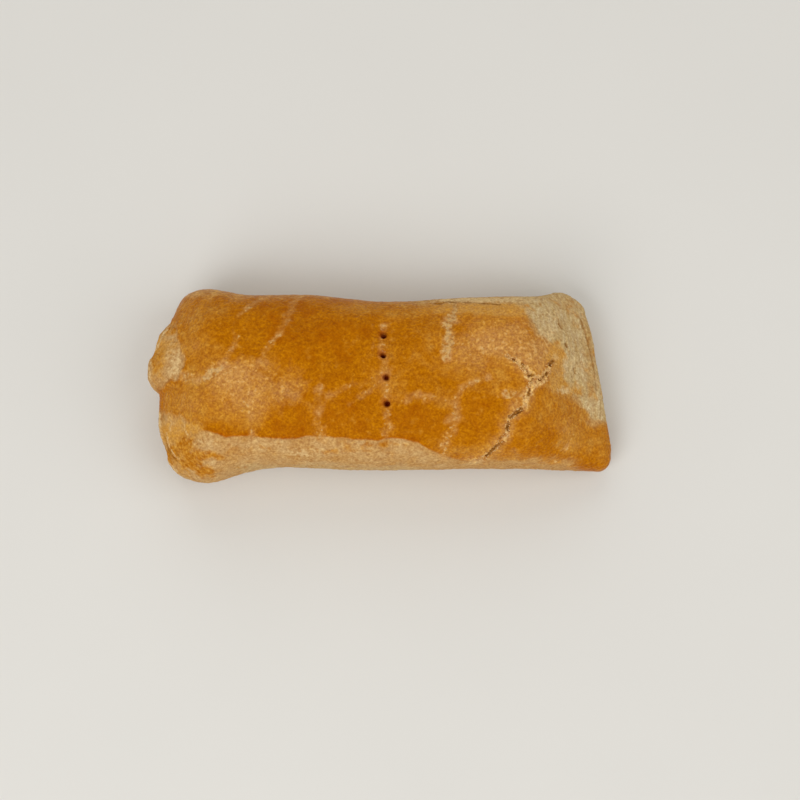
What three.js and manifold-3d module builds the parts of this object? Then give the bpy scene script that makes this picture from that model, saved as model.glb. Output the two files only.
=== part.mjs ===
// A baked fish roll: one uncut bolster of shortcrust pastry on a flat base.
// The left end flares and lets a tongue of dough out, the right end is pinched low and runs aslant.
// Four fork pricks vent the middle, and the crust has cracked open near the right end.
// Millimetres: +X runs along the roll to its pinched end, +Y to its back, +Z up from the base.
import * as THREE from "three";
import { LoftGeometry } from "three/addons/geometries/LoftGeometry.js";
import { mergeVertices } from "three/addons/utils/BufferGeometryUtils.js";
import Module from "manifold-3d";

// Length, from the blunt left end to the front corner of the pinched right end.
const LEFT_END = -63.4;
const RIGHT_END = 67.4;

// Half widths at the middle of the roll, from its long axis to its two sides.
const BACK_HALF_WIDTH = 25.8;
const FRONT_HALF_WIDTH = 23.7;

// Where each side swells (+) or draws in (-): place along the roll, reach along it, and how far.
const BACK_SWELLS = [
  { at: -53, reach: 10, by: 2.8 },
  { at: -23, reach: 12, by: 0.4 },
  { at: 4, reach: 17, by: -1.7 },
  { at: 57, reach: 8, by: 3.3 },
];
const FRONT_SWELLS = [
  { at: -50, reach: 10, by: 4.1 },
  { at: -26, reach: 9, by: -0.5 },
  { at: 2, reach: 14, by: 0.4 },
];

// Height of the crown, how it falls to both ends, and the shallow dip where the fork was pressed in.
const CROWN_HEIGHT = 33;
const PINCHED_HEIGHT = 12;
const LEFT_FALL = { from: -44, to: -66, share_left: 0.45 };
const RIGHT_FALL = { from: 38, to: 69, share_left: 0.05 };
const VENT_DIP = { at: 1.5, reach: 5, depth: 0.5 };

// Cross-section: two half superellipses that meet at the widest line, cut off flat by the base.
const WIDEST_AT_SHARE = 0.4;
const UPPER_ROUNDNESS = 2.5;
const LOWER_ROUNDNESS = 3.6;
const FLAT_BASE_SINK = 1;

// Rounding of the two end faces, and the extra rounding of the corners seen from above.
const LEFT_FILLET = 6;
const RIGHT_FILLET = 3.5;
const LEFT_FRONT_CORNER = { from: 0.85, size: 1.4 };
const LEFT_BACK_CORNER = { from: 0.6, size: 3.2 };
const RIGHT_BACK_CORNER = { from: 0.75, size: 0.8 };
const LEFT_END_REACH = 26;
const RIGHT_END_REACH = 34;

// The right end recedes from its front corner to its back corner.
const SLANT = { from: -0.8, rate: 4, growth: -0.5 };

// The tongue of dough: two lobes that stick out of the upper part of the left end.
const TONGUE_LOBES = [
  { at: 3.4, reach: 4.9, out: 3.7 },
  { at: 12.2, reach: 4.4, out: 1.7 },
];
const TONGUE_UNDERSIDE = { low: 4.5, high: 10 };

// Soft lumps of the baked crust: three waves that lift and lower its top.
const LUMPS = [
  { along: 0.31, across: 0.27, phase: 0.4, height: 0.22 },
  { along: 0.17, across: -0.36, phase: 2.0, height: 0.22 },
  { along: 0.55, across: 0.21, phase: 0.7, height: 0.15 },
];

// Fork pricks: a row across the crown, as pressed by one four-tined fork.
const PRICK_MOUTH_RADIUS = 1;
const PRICK_TIP_RADIUS = 0.6;
const PRICK_DEPTH = 5;
const PRICKS = [
  [1.2, 13.3],
  [1.1, 7.2],
  [1.9, 0.4],
  [2.1, -7.6],
];

// The crack: a trunk from the front edge up the crown, which forks into two branches.
const CRACK_WIDTH = 1.3;
const CRACK_DEPTH = 1.6;
const CRACK_STATIONS_PER_MM = 0.9;
const CRACK_BRANCHES = [
  {
    name: "trunk",
    points: [
      [44.3, 0.2], [42.4, -4.8], [41.8, -7.8], [39.2, -10.1], [37.3, -12.2],
      [36.9, -15.6], [35, -18.2], [31.5, -21.3], [26.5, -22.9],
    ],
  },
  { name: "right branch", points: [[43.6, -0.8], [47, 1.2], [48.3, 3.4], [49.2, 5.8], [51, 7.2]] },
  { name: "left branch", points: [[44.6, 0.9], [42.8, 2.2], [41.8, 3.7], [39.2, 5.6], [36.6, 7.2]] },
];

// How finely the skin is divided along, across and up the roll, and how many of those steps round each end.
const STEPS = { along: 62, across: 24, up: 10, end: 4 };
const SIDE_SHARE = 1 - (2 * STEPS.end) / STEPS.along;

const CRUST_COLOUR = 0xc38436;

const wasm = await Module();
wasm.setup();

const { clamp, smoothstep, lerp } = THREE.MathUtils;

function bell(x, at, reach) {
  return Math.exp(-(((x - at) / reach) ** 2));
}

// A blunt lobe: a bell with a flat top.
function lobe(y, { at, reach, out }) {
  return out * Math.exp(-(((y - at) / reach) ** 4));
}

function swollen(halfWidth, swells, x) {
  return swells.reduce((sum, swell) => sum + swell.by * bell(x, swell.at, swell.reach), halfWidth);
}

// Height of the crown at x: full in the middle, falling to a share of its rise at each end.
function crownAt(x) {
  const left = 1 - smoothstep(-x, -LEFT_FALL.from, -LEFT_FALL.to);
  const right = 1 - smoothstep(x, RIGHT_FALL.from, RIGHT_FALL.to);
  const rise = (CROWN_HEIGHT - PINCHED_HEIGHT)
    * lerp(LEFT_FALL.share_left, 1, left)
    * lerp(RIGHT_FALL.share_left, 1, right);
  return PINCHED_HEIGHT + rise - VENT_DIP.depth * bell(x, VENT_DIP.at, VENT_DIP.reach);
}

// How far an end draws back towards one corner; t runs from 0 at the middle to 1 at the side.
// The sine keeps the draw even over the height of the corner.
function cornerDraw(t, corner) {
  const sideways = Math.sin((clamp(t, -1, 1) * Math.PI) / 2);
  const u = clamp((sideways - corner.from) / (1 - corner.from), 0, 1);
  return corner.size * u * u;
}

// How far the left end draws back (+) or sticks out (-) at t, from -1 at the front to 1 at the back.
function leftEndShift(t, y, z) {
  const tongue = TONGUE_LOBES.reduce((sum, shape) => sum + lobe(y, shape), 0);
  return cornerDraw(-t, LEFT_FRONT_CORNER) + cornerDraw(t, LEFT_BACK_CORNER)
    - tongue * smoothstep(z, TONGUE_UNDERSIDE.low, TONGUE_UNDERSIDE.high);
}

// How far the slanting right end falls short of its front corner at t.
function rightEndShift(t) {
  const u = Math.max(t - SLANT.from, 0);
  return -(SLANT.rate * u + SLANT.growth * u * u) - cornerDraw(t, RIGHT_BACK_CORNER);
}

// The shift of both ends, fading out along the roll; x is the place before the shift.
function endShift(x, t, y, z) {
  const nearLeft = clamp(1 - (x - LEFT_END) / LEFT_END_REACH, 0, 1) ** 2;
  const nearRight = clamp(1 - (RIGHT_END - x) / RIGHT_END_REACH, 0, 1) ** 2;
  return leftEndShift(t, y, z) * nearLeft + rightEndShift(t) * nearRight;
}

function lumpAt(x, y) {
  return LUMPS.reduce(
    (sum, wave) => sum + wave.height * Math.sin(wave.along * x + wave.across * y + wave.phase),
    0,
  );
}

// The cross-section at x before the ends shift: middle and half width, crown and height of the widest line.
function sectionAt(x) {
  const back = swollen(BACK_HALF_WIDTH, BACK_SWELLS, x);
  const front = swollen(FRONT_HALF_WIDTH, FRONT_SWELLS, x);
  const crown = crownAt(x);
  return { middle: (back - front) / 2, half: (back + front) / 2, crown, widest: WIDEST_AT_SHARE * crown };
}

// Bends a point of the cube from -1 to 1 to the skin of the roll: a runs along it, b across it and c up it.
function bend(a, b, c) {
  const ring = Math.max(Math.abs(b), Math.abs(c));
  const roundness = c >= 0 ? UPPER_ROUNDNESS : LOWER_ROUNDNESS;
  const norm = (Math.abs(b) ** roundness + Math.abs(c) ** roundness) ** (1 / roundness);
  const across = ring > 0 ? b / norm : 0;
  const up = ring > 0 ? c / norm : 0;

  const fillet = a < 0 ? LEFT_FILLET : RIGHT_FILLET;
  const turn = (clamp((Math.abs(a) - SIDE_SHARE) / (1 - SIDE_SHARE), 0, 1) * Math.PI) / 2;
  const inset = fillet * (1 - Math.cos(turn));
  const along = clamp((a / SIDE_SHARE + 1) / 2, 0, 1);
  const x = lerp(LEFT_END + LEFT_FILLET, RIGHT_END - RIGHT_FILLET, along)
    + Math.sign(a) * fillet * Math.sin(turn);

  const { middle, half, crown, widest } = sectionAt(x);
  const t = across * ring;
  const y = middle + t * (half - inset);
  const smooth = c >= 0
    ? widest + up * ring * (crown - widest - inset)
    : Math.max(widest + up * ring * (widest + FLAT_BASE_SINK - inset), 0);
  const z = smooth + Math.max(up, 0) * ring * (1 - inset / fillet) * lumpAt(x, y);
  return new THREE.Vector3(x + endShift(x, t, y, z), y, z);
}

// The point of the top crust straight above or below a place on the plan.
function onCrust(planX, planY) {
  let x = planX;
  let z = CROWN_HEIGHT;
  for (let round = 0; round < 6; round += 1) {
    const { middle, half, crown, widest } = sectionAt(x);
    const t = clamp((planY - middle) / half, -1, 1);
    const up = (1 - Math.abs(t) ** UPPER_ROUNDNESS) ** (1 / UPPER_ROUNDNESS);
    z = widest + up * (crown - widest) + up * lumpAt(x, planY);
    x = planX - endShift(x, t, planY, z);
  }
  return new THREE.Vector3(planX, planY, z);
}

// A closed solid from a geometry, with its doubled vertices merged.
function solidOf(geometry) {
  const bare = new THREE.BufferGeometry();
  bare.setAttribute("position", geometry.attributes.position);
  bare.setIndex(geometry.index);
  const merged = mergeVertices(bare, 1e-4);
  return new wasm.Manifold(new wasm.Mesh({
    numProp: 3,
    vertProperties: merged.attributes.position.array,
    triVerts: new Uint32Array(merged.index.array),
  }));
}

function rollBody() {
  const geometry = new THREE.BoxGeometry(2, 2, 2, STEPS.along, STEPS.across, STEPS.up);
  const corners = geometry.attributes.position;
  for (let i = 0; i < corners.count; i += 1) {
    const { x, y, z } = bend(corners.getX(i), corners.getY(i), corners.getZ(i));
    corners.setXYZ(i, x, y, z);
  }
  return solidOf(geometry);
}

function prick([x, y]) {
  const height = 2 * PRICK_DEPTH;
  const mouthRadius = lerp(PRICK_TIP_RADIUS, PRICK_MOUTH_RADIUS, height / PRICK_DEPTH);
  const geometry = new THREE.CylinderGeometry(mouthRadius, PRICK_TIP_RADIUS, height, 16);
  geometry.rotateX(Math.PI / 2);
  geometry.translate(x, y, onCrust(x, y).z - PRICK_DEPTH + height / 2);
  return solidOf(geometry);
}

// A wedge along one branch of the crack: it tapers to nothing at the branch's free end.
function crackWedge(branch) {
  const path = new THREE.CatmullRomCurve3(branch.points.map(([x, y]) => onCrust(x, y)));
  const stations = Math.ceil(path.getLength() * CRACK_STATIONS_PER_MM);
  const sections = [];
  for (let i = 0; i <= stations; i += 1) {
    const share = i / stations;
    const { x, y } = path.getPointAt(share);
    const middle = onCrust(x, y);
    const ahead = path.getTangentAt(share).setZ(0).normalize();
    const aside = new THREE.Vector3(-ahead.y, ahead.x, 0);
    const open = Math.min(1, 0.25 + 2.5 * (1 - share));
    const rim = aside.clone().multiplyScalar((CRACK_WIDTH / 2) * open);
    const rise = new THREE.Vector3(0, 0, 1.2);
    sections.push([
      middle.clone().add(rim).add(rise),
      middle.clone().sub(rim).add(rise),
      middle.clone().add(new THREE.Vector3(0, 0, -CRACK_DEPTH * open)),
    ]);
  }
  return solidOf(new LoftGeometry(sections, { closed: true, capStart: true, capEnd: true }));
}

function fishRoll() {
  let roll = rollBody();
  for (const place of PRICKS) roll = roll.subtract(prick(place));
  for (const branch of CRACK_BRANCHES) roll = roll.subtract(crackWedge(branch));
  const { vertProperties, triVerts } = roll.getMesh();
  const geometry = new THREE.BufferGeometry();
  geometry.setAttribute("position", new THREE.BufferAttribute(vertProperties, 3));
  geometry.setIndex(new THREE.BufferAttribute(triVerts, 1));
  geometry.computeBoundingBox();
  const { min, max } = geometry.boundingBox;
  geometry.translate(-(min.x + max.x) / 2, -(min.y + max.y) / 2, -min.z);
  geometry.computeVertexNormals();
  const crust = new THREE.MeshStandardMaterial({ color: CRUST_COLOUR, roughness: 0.6, metalness: 0 });
  const mesh = new THREE.Mesh(geometry, crust);
  mesh.name = "fish_roll";
  return mesh;
}

const group = new THREE.Group();
group.name = "fish_roll_part";
group.add(fishRoll());
export default group;
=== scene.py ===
"""A baked fish roll: one uncut bolster of egg-washed shortcrust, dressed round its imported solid.

The crust is a grid on a cube, divided finer where the pastry breaks.
It is bent into the roll by the solid's own sizes.
Wash, bare dough, splits, the crack and the fork pricks are placed on the crust as the camera sees it.
They are pressed in as relief and kept on the vertices, where the crust's material reads them.
Lengths are millimetres, and become metres where a mesh, a light or the camera is made.
"""
import itertools
import math
import random
from collections import namedtuple

import bmesh
import bpy
import numpy as np
from mathutils import Euler, Matrix, Vector, kdtree, noise


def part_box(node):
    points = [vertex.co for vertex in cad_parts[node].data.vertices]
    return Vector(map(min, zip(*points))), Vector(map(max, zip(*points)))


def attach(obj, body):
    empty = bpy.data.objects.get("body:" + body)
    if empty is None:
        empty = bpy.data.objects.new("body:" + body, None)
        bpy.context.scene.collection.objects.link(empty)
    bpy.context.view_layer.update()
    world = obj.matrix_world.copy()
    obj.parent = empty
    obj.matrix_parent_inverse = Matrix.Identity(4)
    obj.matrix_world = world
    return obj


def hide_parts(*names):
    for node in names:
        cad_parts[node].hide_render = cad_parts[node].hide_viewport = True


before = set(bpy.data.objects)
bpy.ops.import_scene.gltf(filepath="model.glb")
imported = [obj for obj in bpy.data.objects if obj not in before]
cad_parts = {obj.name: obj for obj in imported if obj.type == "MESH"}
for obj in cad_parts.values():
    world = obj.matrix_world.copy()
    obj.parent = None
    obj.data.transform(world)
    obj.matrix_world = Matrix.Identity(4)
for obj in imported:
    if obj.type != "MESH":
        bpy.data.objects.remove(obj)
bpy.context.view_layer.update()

bl_info = {
    "name": "Fish roll",
    "version": (1, 0, 0),
    "blender": (4, 5, 0),
    "location": "View3D > Sidebar > Fish roll",
    "description": "Builds the crust, the crumbs and the stage of a baked fish roll",
    "category": "Object",
}

MM = 0.001
NODE = "fish_roll"

# Kinds of sizes. A ripple is noise of a height and a size, with octaves of detail, stretched along the axes.
Swell = namedtuple("Swell", "at reach by")
Fall = namedtuple("Fall", "start end share_left")
Corner = namedtuple("Corner", "start size")
Lobe = namedtuple("Lobe", "at reach out")
Wave = namedtuple("Wave", "along across phase height")
Line = namedtuple("Line", "half_width depth points")
Spot = namedtuple("Spot", "place reach by")
Patch = namedtuple("Patch", "left low width height")
Lamp = namedtuple("Lamp", "place size power")
Grain = namedtuple("Grain", "size detail stretch")
Mask = namedtuple("Mask", "field grain ruffle low high")
Layer = namedtuple("Layer", "mask main other grain")
Skin = namedtuple("Skin", "points normals plan seen")
Ripple = namedtuple("Ripple", "height size octaves stretch", defaults=(1, (1, 1, 1)))

# The roll's form, with the same sizes as the solid: length, half widths and their swells.
LEFT_END = -63.4
RIGHT_END = 67.4
BACK_HALF_WIDTH = 25.8
FRONT_HALF_WIDTH = 23.7
BACK_SWELLS = [Swell(-53, 10, 2.8), Swell(-23, 12, 0.4), Swell(4, 17, -1.7), Swell(57, 8, 3.3)]
FRONT_SWELLS = [Swell(-50, 10, 4.1), Swell(-26, 9, -0.5), Swell(2, 14, 0.4)]

# Height of the crown, how it falls to both ends, and the dip where the fork was pressed in.
CROWN_HEIGHT = 33
PINCHED_HEIGHT = 12
LEFT_FALL = Fall(-44, -66, 0.45)
RIGHT_FALL = Fall(38, 69, 0.05)
PRICK_DIP = Swell(1.5, 5, 0.5)

# Cross-section: two half superellipses that meet at the widest line, cut off flat by the base.
WIDEST_AT_SHARE = 0.4
UPPER_ROUNDNESS = 2.5
LOWER_ROUNDNESS = 3.6
FLAT_BASE_SINK = 1

# Rounding of the end faces and corners, the slant of the right end, and the tongue of dough at the left end.
# The sides take a share of the cube's length, and the rounding of the end faces takes the rest.
LEFT_FILLET = 6
RIGHT_FILLET = 3.5
SIDE_SHARE = 1 - 8 / 62
LEFT_FRONT_CORNER = Corner(0.85, 1.4)
LEFT_BACK_CORNER = Corner(0.6, 3.2)
RIGHT_BACK_CORNER = Corner(0.75, 0.8)
LEFT_END_REACH = 26
RIGHT_END_REACH = 34
SLANT_START = -0.8
SLANT_RATE = 4
SLANT_GROWTH = -0.5
TONGUE_LOBES = [Lobe(3.4, 4.9, 3.7), Lobe(12.2, 4.4, 1.7)]
TONGUE_UNDERSIDE = (4.5, 10)
LUMPS = [Wave(0.31, 0.27, 0.4, 0.22), Wave(0.17, -0.36, 2.0, 0.22), Wave(0.55, 0.21, 0.7, 0.15)]

# Grid of the skin on the cube, with fewer rows low on the sides.
# One flat face takes up a share of the underside's length and width.
GRID_ALONG = 248
GRID_ACROSS = 90
GRID_LOW = 10
GRID_UP = 36
FLAT_ALONG = 0.84
FLAT_ACROSS = 0.68

# The camera looks down on the roll from the front; the picture is square.
CAMERA_TARGET = np.array((5.75, -4.94, 14.0))
CAMERA_DISTANCE = 420
CAMERA_ELEVATION = math.radians(78)
PICTURE_WIDTH = 231.5
SENSOR_WIDTH = 36
CAMERA_NEAR = 10
CAMERA_BACK = np.array((0, -math.cos(CAMERA_ELEVATION), math.sin(CAMERA_ELEVATION)))
CAMERA_UP = np.array((0, math.sin(CAMERA_ELEVATION), math.cos(CAMERA_ELEVATION)))

# The plan of marks: millimetres right of and above the middle of the roll, as the camera sees them.
MARKS_ORIGIN = (5.93, -4.49)

# Fork pricks, and the crack: a trunk from the front edge up the crown, which forks into two branches.
PRICK_RADIUS = 1.0
DIMPLE_SHIFT = (-0.4, 0.3)
PRICKS = [(1.2, 14.3), (1.1, 8.6), (1.9, 2.0), (2.1, -5.6)]
CRACK_FORK = (44.7, 0.7)
CRACK = [
    [
        CRACK_FORK, (43.6, -1.3), (42.4, -3.6), (42.0, -6.2), (39.5, -8.2), (37.5, -10.0), (36.9, -12.0),
        (36.9, -14.3), (35.2, -16.1), (33.7, -18.1), (31.7, -19.8), (29.7, -21.6), (26.2, -22.4),
    ],
    [CRACK_FORK, (47.2, 1.6), (48.5, 3.6), (49.3, 5.9), (51.1, 7.2)],
    [CRACK_FORK, (43.0, 3.0), (42.0, 4.8), (39.5, 6.8), (36.6, 8.5)],
]

# Where the crack gapes: half width, and share of the crack's depth.
# Between these places its lips all but close.
CRACK_GAPS = [
    Line(0.5, 0.9, [(49.3, 5.8), (49.8, 6.4), (50.3, 7.0)]),
    Line(0.4, 0.8, [(48.6, 3.7), (48.2, 2.8), (47.4, 1.9), (46.5, 1.2)]),
    Line(0.35, 0.6, [(38.9, 7.2), (39.5, 6.7)]),
    Line(0.4, 0.7, [(41.2, 5.8), (42.2, 5.1)]),
    Line(0.35, 0.7, [(42.7, 4.0), (43.3, 2.7)]),
    Line(0.45, 0.9, [(43.2, 2.5), (44.2, 2.6), (45.1, 2.8)]),
    Line(0.35, 0.7, [(44.5, 1.6), (43.9, 0.6)]),
    Line(0.45, 0.85, [(43.6, -1.4), (43.2, -2.8)]),
    Line(0.5, 0.9, [(41.1, -7.1), (39.6, -8.3), (37.9, -9.4)]),
    Line(0.5, 0.85, [(37.3, -10.9), (37.1, -12.0), (37.0, -13.2)]),
    Line(0.3, 0.6, [(36.5, -14.3), (35.9, -14.9), (35.0, -15.5)]),
    Line(0.42, 0.9, [(35.6, -16.7), (34.2, -17.5), (32.4, -19.2), (30.9, -20.7)]),
    Line(0.25, 0.4, [(30.9, -20.7), (29.2, -21.8), (27.0, -22.1)]),
]

# Width of the crumbling margins beside the crack, by height on the plan.
CRACK_MARGINS = [(-21, 0.3), (-11, 0.5)]

# Splits: pale bands where the browned wash tore as the dough rose. The deeper, the paler.
DEEPEST_SPLIT = 0.16
SPLITS = [
    Line(0.8, 0.12, [(-34.2, 24.8), (-36.4, 23.4), (-38.6, 22.0), (-41.2, 19.7)]),
    Line(0.6, 0.05, [(-41.2, 19.7), (-42.6, 16.6), (-41.4, 13.4)]),
    Line(1.0, 0.11, [(-41.4, 13.4), (-42.4, 11.0), (-44.4, 7.6), (-45.7, 5.1)]),
    Line(1.7, 0.17, [(-45.0, 5.6), (-47.6, 3.8), (-50.0, 2.4), (-52.4, 1.5), (-56.0, 2.4)]),
    Line(1.4, 0.10, [(-23.7, 25.3), (-25.4, 22.0), (-26.2, 19.0), (-28.0, 15.5)]),
    Line(1.0, 0.13, [(-26.2, 19.0), (-28.0, 15.5), (-31.0, 12.4), (-33.2, 9.0), (-34.2, 6.8)]),
    Line(1.6, 0.08, [(-33.2, 9.0), (-34.2, 6.8), (-33.6, 4.6)]),
    Line(1.5, 0.12, [(-17.8, -1.5), (-17.3, -5.8), (-18.3, -8.8), (-17.6, -11.5), (-17.4, -15.2)]),
    Line(1.2, 0.08, [(-17.2, -4.8), (-13.4, -2.7), (-10.0, -0.8), (-6.0, 0.2), (-1.0, 1.6)]),
    Line(1.4, 0.12, [(-37.5, -2.6), (-38.6, -5.6), (-37.0, -9.6), (-37.0, -14.6)]),
    Line(1.5, 0.12, [(1.3, 16.0), (1.4, 8.0), (2.0, -4.0), (1.9, -13.0)]),
    Line(1.2, 0.19, [(2.0, -7.4), (1.9, -9.8)]),
    Line(1.0, 0.10, [(-8.5, -5.6), (-5.4, -3.6), (-2.2, -1.0), (0.1, 1.0)]),
    Line(0.8, 0.06, [(-2.0, 16.6), (-1.6, 12.6), (-2.2, 9.4)]),
    Line(1.7, 0.095, [(4.6, -4.4), (10.9, -4.1), (15.7, -3.6), (19.2, -4.8), (21.9, -5.5)]),
    Line(1.2, 0.12, [(21.9, -5.5), (23.0, -2.7), (23.9, -0.7), (26.8, 0.7), (29.7, 1.6), (31.4, 2.2)]),
    Line(1.8, 0.14, [(21.9, -5.5), (21.7, -8.1), (21.2, -10.3), (20.3, -14.0), (19.2, -18.1), (18.7, -20.6)]),
    Line(0.9, 0.24, [(22.0, 23.2), (21.7, 21.0), (21.2, 18.8)]),
    Line(1.5, 0.24, [(20.7, 19.0), (19.6, 17.6), (19.8, 15.0), (20.3, 12.8), (19.5, 10.3), (18.7, 8.1)]),
    Line(1.2, 0.06, [(33.9, -3.4), (37.0, -2.9)]),
    Line(1.3, 0.20, [(36.4, -2.9), (39.0, -2.4), (41.6, -2.1)]),
    Line(1.5, 0.12, [(31.0, 11.0), (34.0, 9.6), (36.6, 8.5)]),
    Line(0.6, 0.10, [(50.9, -22.1), (52.8, -20.4), (54.8, -16.8), (56.3, -13.6)]),
    Line(0.5, 0.05, [(54.0, -18.7), (56.9, -15.0)]),
]

# Folds (+ deep) and ridges (- deep) of the dough.
# They are the rims of both ends, wrinkles, pits and the thin crack at the back.
FOLDS = [
    Line(0.3, 0.12, [(-62.3, -6.6), (-62.5, -10.6), (-62.6, -14.6)]),
    Line(0.3, 0.45, [(-62.6, -14.6), (-62.2, -16.6), (-61.4, -18.8), (-60.2, -20.8), (-58.4, -22.6)]),
    Line(0.3, 0.15, [(-58.4, -22.6), (-56.4, -25.0), (-52.0, -26.8)]),
    Line(0.4, -0.13, [(-61.6, -14.0), (-61.0, -17.4), (-59.6, -20.2), (-57.8, -22.0)]),
    Line(0.5, -0.10, [(-60.8, -8.4), (-60.0, -11.0), (-60.6, -13.6)]),
    Line(0.5, -0.10, [(-56.4, -10.6), (-56.2, -13.0), (-55.4, -14.6)]),
    Line(0.4, -0.15, [(-63.6, -8.0), (-63.7, -13.0), (-63.2, -18.0), (-61.4, -22.0), (-58.6, -25.0)]),
    Line(0.4, -0.15, [(-66.4, 1.6), (-66.8, 4.6), (-66.2, 8.0), (-64.2, 11.0), (-62.6, 15.0), (-60.4, 17.6)]),
    Line(0.3, 0.25, [(-60.4, -15.6), (-59.6, -18.2), (-58.2, -21.0), (-56.8, -22.6)]),
    Line(0.35, 0.3, [(58.2, 19.2), (59.4, 15.6), (60.6, 11.4), (61.5, 7.8), (62.3, 3.0), (62.9, -1.6)]),
    Line(0.5, 0.08, [(46.7, -22.7), (51.1, -20.7), (54.3, -18.1), (56.0, -15.2), (57.2, -11.7)]),
    Line(0.35, -0.06, [(52.3, -19.3), (54.8, -16.8), (56.3, -13.6)]),
    Line(0.35, -0.06, [(54.0, -18.7), (56.9, -15.0)]),
    Line(0.35, -0.06, [(50.9, -22.1), (52.8, -21.4), (54.3, -19.9)]),
    Line(0.3, 0.10, [(51.1, -18.5), (53.2, -16.0), (54.4, -13.0)]),
    Line(0.22, 0.35, [(15.2, 23.6), (17.5, 23.4), (19.8, 24.2), (24.5, 23.9), (29.1, 23.6), (34.9, 23.3)]),
    Line(0.35, 0.6, [(52.1, 17.6), (52.9, 16.3)]),
    Line(0.35, 0.55, [(54.0, 11.9), (54.6, 10.9)]),
    Line(0.35, 0.5, [(56.4, 4.6), (56.7, 3.2)]),
]

# Where the brush stopped: the sharp edge of the wash along the front, and the bare dough elsewhere.
# A softness is the width in millimetres over which an edge fades.
FRONT_WASH_EDGE = [
    (-63.5, -7.4), (-59.8, -9.1), (-56.9, -9.4), (-55.4, -11.4), (-53.0, -12.8), (-47.0, -14.2),
    (-44.6, -15.2), (-37.2, -14.9), (-31.3, -15.7), (-24.3, -15.7), (-21.3, -14.9), (-12.1, -15.2),
    (-7.7, -16.0), (-0.3, -16.1), (3.3, -15.5), (7.5, -15.8), (11.1, -16.8), (14.2, -18.8),
    (17.8, -20.4), (22.3, -21.6), (26.2, -22.2), (31.0, -21.2),
]
FRONT_EDGE_STOP = 30
FRONT_EDGE_SOFTNESS = [(-55, 3.0), (-50, 1.0)]
BARE_RIGHT_END = [
    (5.0, 26.0), (8.8, 24.2), (15.2, 23.7), (23.3, 24.0), (32.6, 23.3), (38.1, 21.8), (41.8, 20.4),
    (44.4, 17.8), (45.9, 14.9), (47.9, 12.9), (51.1, 11.1), (52.2, 5.9), (51.1, 0.1), (54.0, -2.5),
    (57.2, -4.2), (58.6, -7.1), (60.3, -9.7), (62.7, -10.9), (74.0, -11.4), (74.0, 36.0), (5.0, 36.0),
]
RIGHT_EDGE_SOFTNESS = [(-12, 1.5), (9, 1.5), (12, 0.8), (19, 1.0)]
THIN_FRONT_STRIP = [(29.0, -21.5), (37.0, -20.0), (48.0, -21.6), (56.0, -22.6), (57.0, -28.0), (28.0, -28.0)]
STRIP_SOFTNESS = 2
STRIP_THINNESS = 0.7
TONGUE = [
    (-61.5, 18.0), (-58.9, 18.0), (-58.7, 13.9), (-57.6, 10.3), (-56.6, 8.1), (-56.7, 5.4), (-57.8, 3.2),
    (-58.9, 1.3), (-62.1, 0.6), (-63.1, -1.4), (-78.0, -1.4), (-78.0, 18.0),
]
TONGUE_SEAM = TONGUE[1:10]
TONGUE_EDGE_SOFTNESS = 1.8
FULLY_WASHED = -4

# How high the bare dough reaches along the back and the front where the camera doesn't see them.
BACK_WASH_HEIGHTS = [(-60, 10), (-8, 11), (8, 17), (18, 24), (30, 27)]
FRONT_LOW_HEIGHTS = [(28, 18), (36, 9), (50, 7), (68, 4)]
LOW_EDGE_SOFTNESS = 2

# Places on bare dough that browned.
BROWN_SPOTS = [
    # Front left corner.
    Spot((-56.6, -17.8), (2.6, 2.0), 1.1), Spot((-54.6, -22.4), (3.0, 2.2), 1.3),
    Spot((-50.6, -19.9), (2.8, 1.8), 0.95), Spot((-46.7, -20.7), (3.4, 1.0), 0.6),
    Spot((-50.5, -25.4), (3.0, 1.6), 1.2), Spot((-56.0, -15.2), (1.6, 2.6), 0.5),
    Spot((-60.5, -20.2), (2.2, 2.8), 1.2),
    # Front band.
    Spot((-10.0, -19.2), (9.0, 1.0), 0.6), Spot((-1.0, -17.4), (9.0, 1.1), 0.45),
    Spot((-34.0, -18.2), (6.0, 1.0), 0.4),
    # Tongue.
    Spot((-64.6, 6.6), (1.6, 3.4), 1.0), Spot((-60.4, 16.4), (1.8, 2.4), 0.9),
    # Right end.
    Spot((51.0, 4.0), (1.6, 1.4), 0.4), Spot((57.0, -3.4), (3.6, 1.8), 0.2),
]

# Painted shade on rims and the foot, a shade darker than the bare dough round them.
EDGE_SHADE_SPOTS = [
    # Rims of the right end.
    Spot((60.8, 13.0), (1.6, 6.0), 0.6), Spot((61.2, 1.0), (2.2, 10.0), 0.9),
    Spot((54.0, 22.6), (5.0, 2.5), 0.6), Spot((57.4, 18.0), (3.0, 3.0), 0.6),
    Spot((50.0, 25.2), (8.0, 1.6), 0.5),
    # Foot of the front.
    Spot((-40.0, -24.0), (5.0, 1.6), 0.6),
]

# Golden places, which browned less.
GOLDEN_SPOTS = [
    # Front left corner.
    Spot((-60.0, -15.0), (5.0, 7.0), 1.0), Spot((-56.0, -22.0), (6.0, 5.0), 0.8),
    Spot((-53.4, -13.0), (3.0, 2.5), 0.8),
    # Tongue, and the crust beside it.
    Spot((-64.4, 8.0), (2.4, 8.0), 1.1), Spot((-60.6, 11.0), (2.5, 3.0), 0.6),
    Spot((-53.5, 0.8), (2.8, 2.2), 0.9), Spot((-58.0, -4.0), (3.0, 3.0), 0.35),
    Spot((-56.6, 11.0), (1.8, 4.0), 0.5),
    # Right end.
    Spot((63.0, -4.0), (1.2, 5.0), 0.5), Spot((51.0, 8.0), (3.5, 5.0), 1.0),
    Spot((56.5, -1.5), (3.4, 3.2), 0.7), Spot((54.6, -16.6), (6.0, 6.0), 0.55),
    Spot((51.0, -0.2), (3.0, 3.4), 0.9),
    # Back rim: painted light, lighter where the back slope falls into shade.
    Spot((27.0, 22.0), (17.0, 2.2), 1.0), Spot((37.0, 21.4), (5.0, 2.4), 0.6),
]

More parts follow.
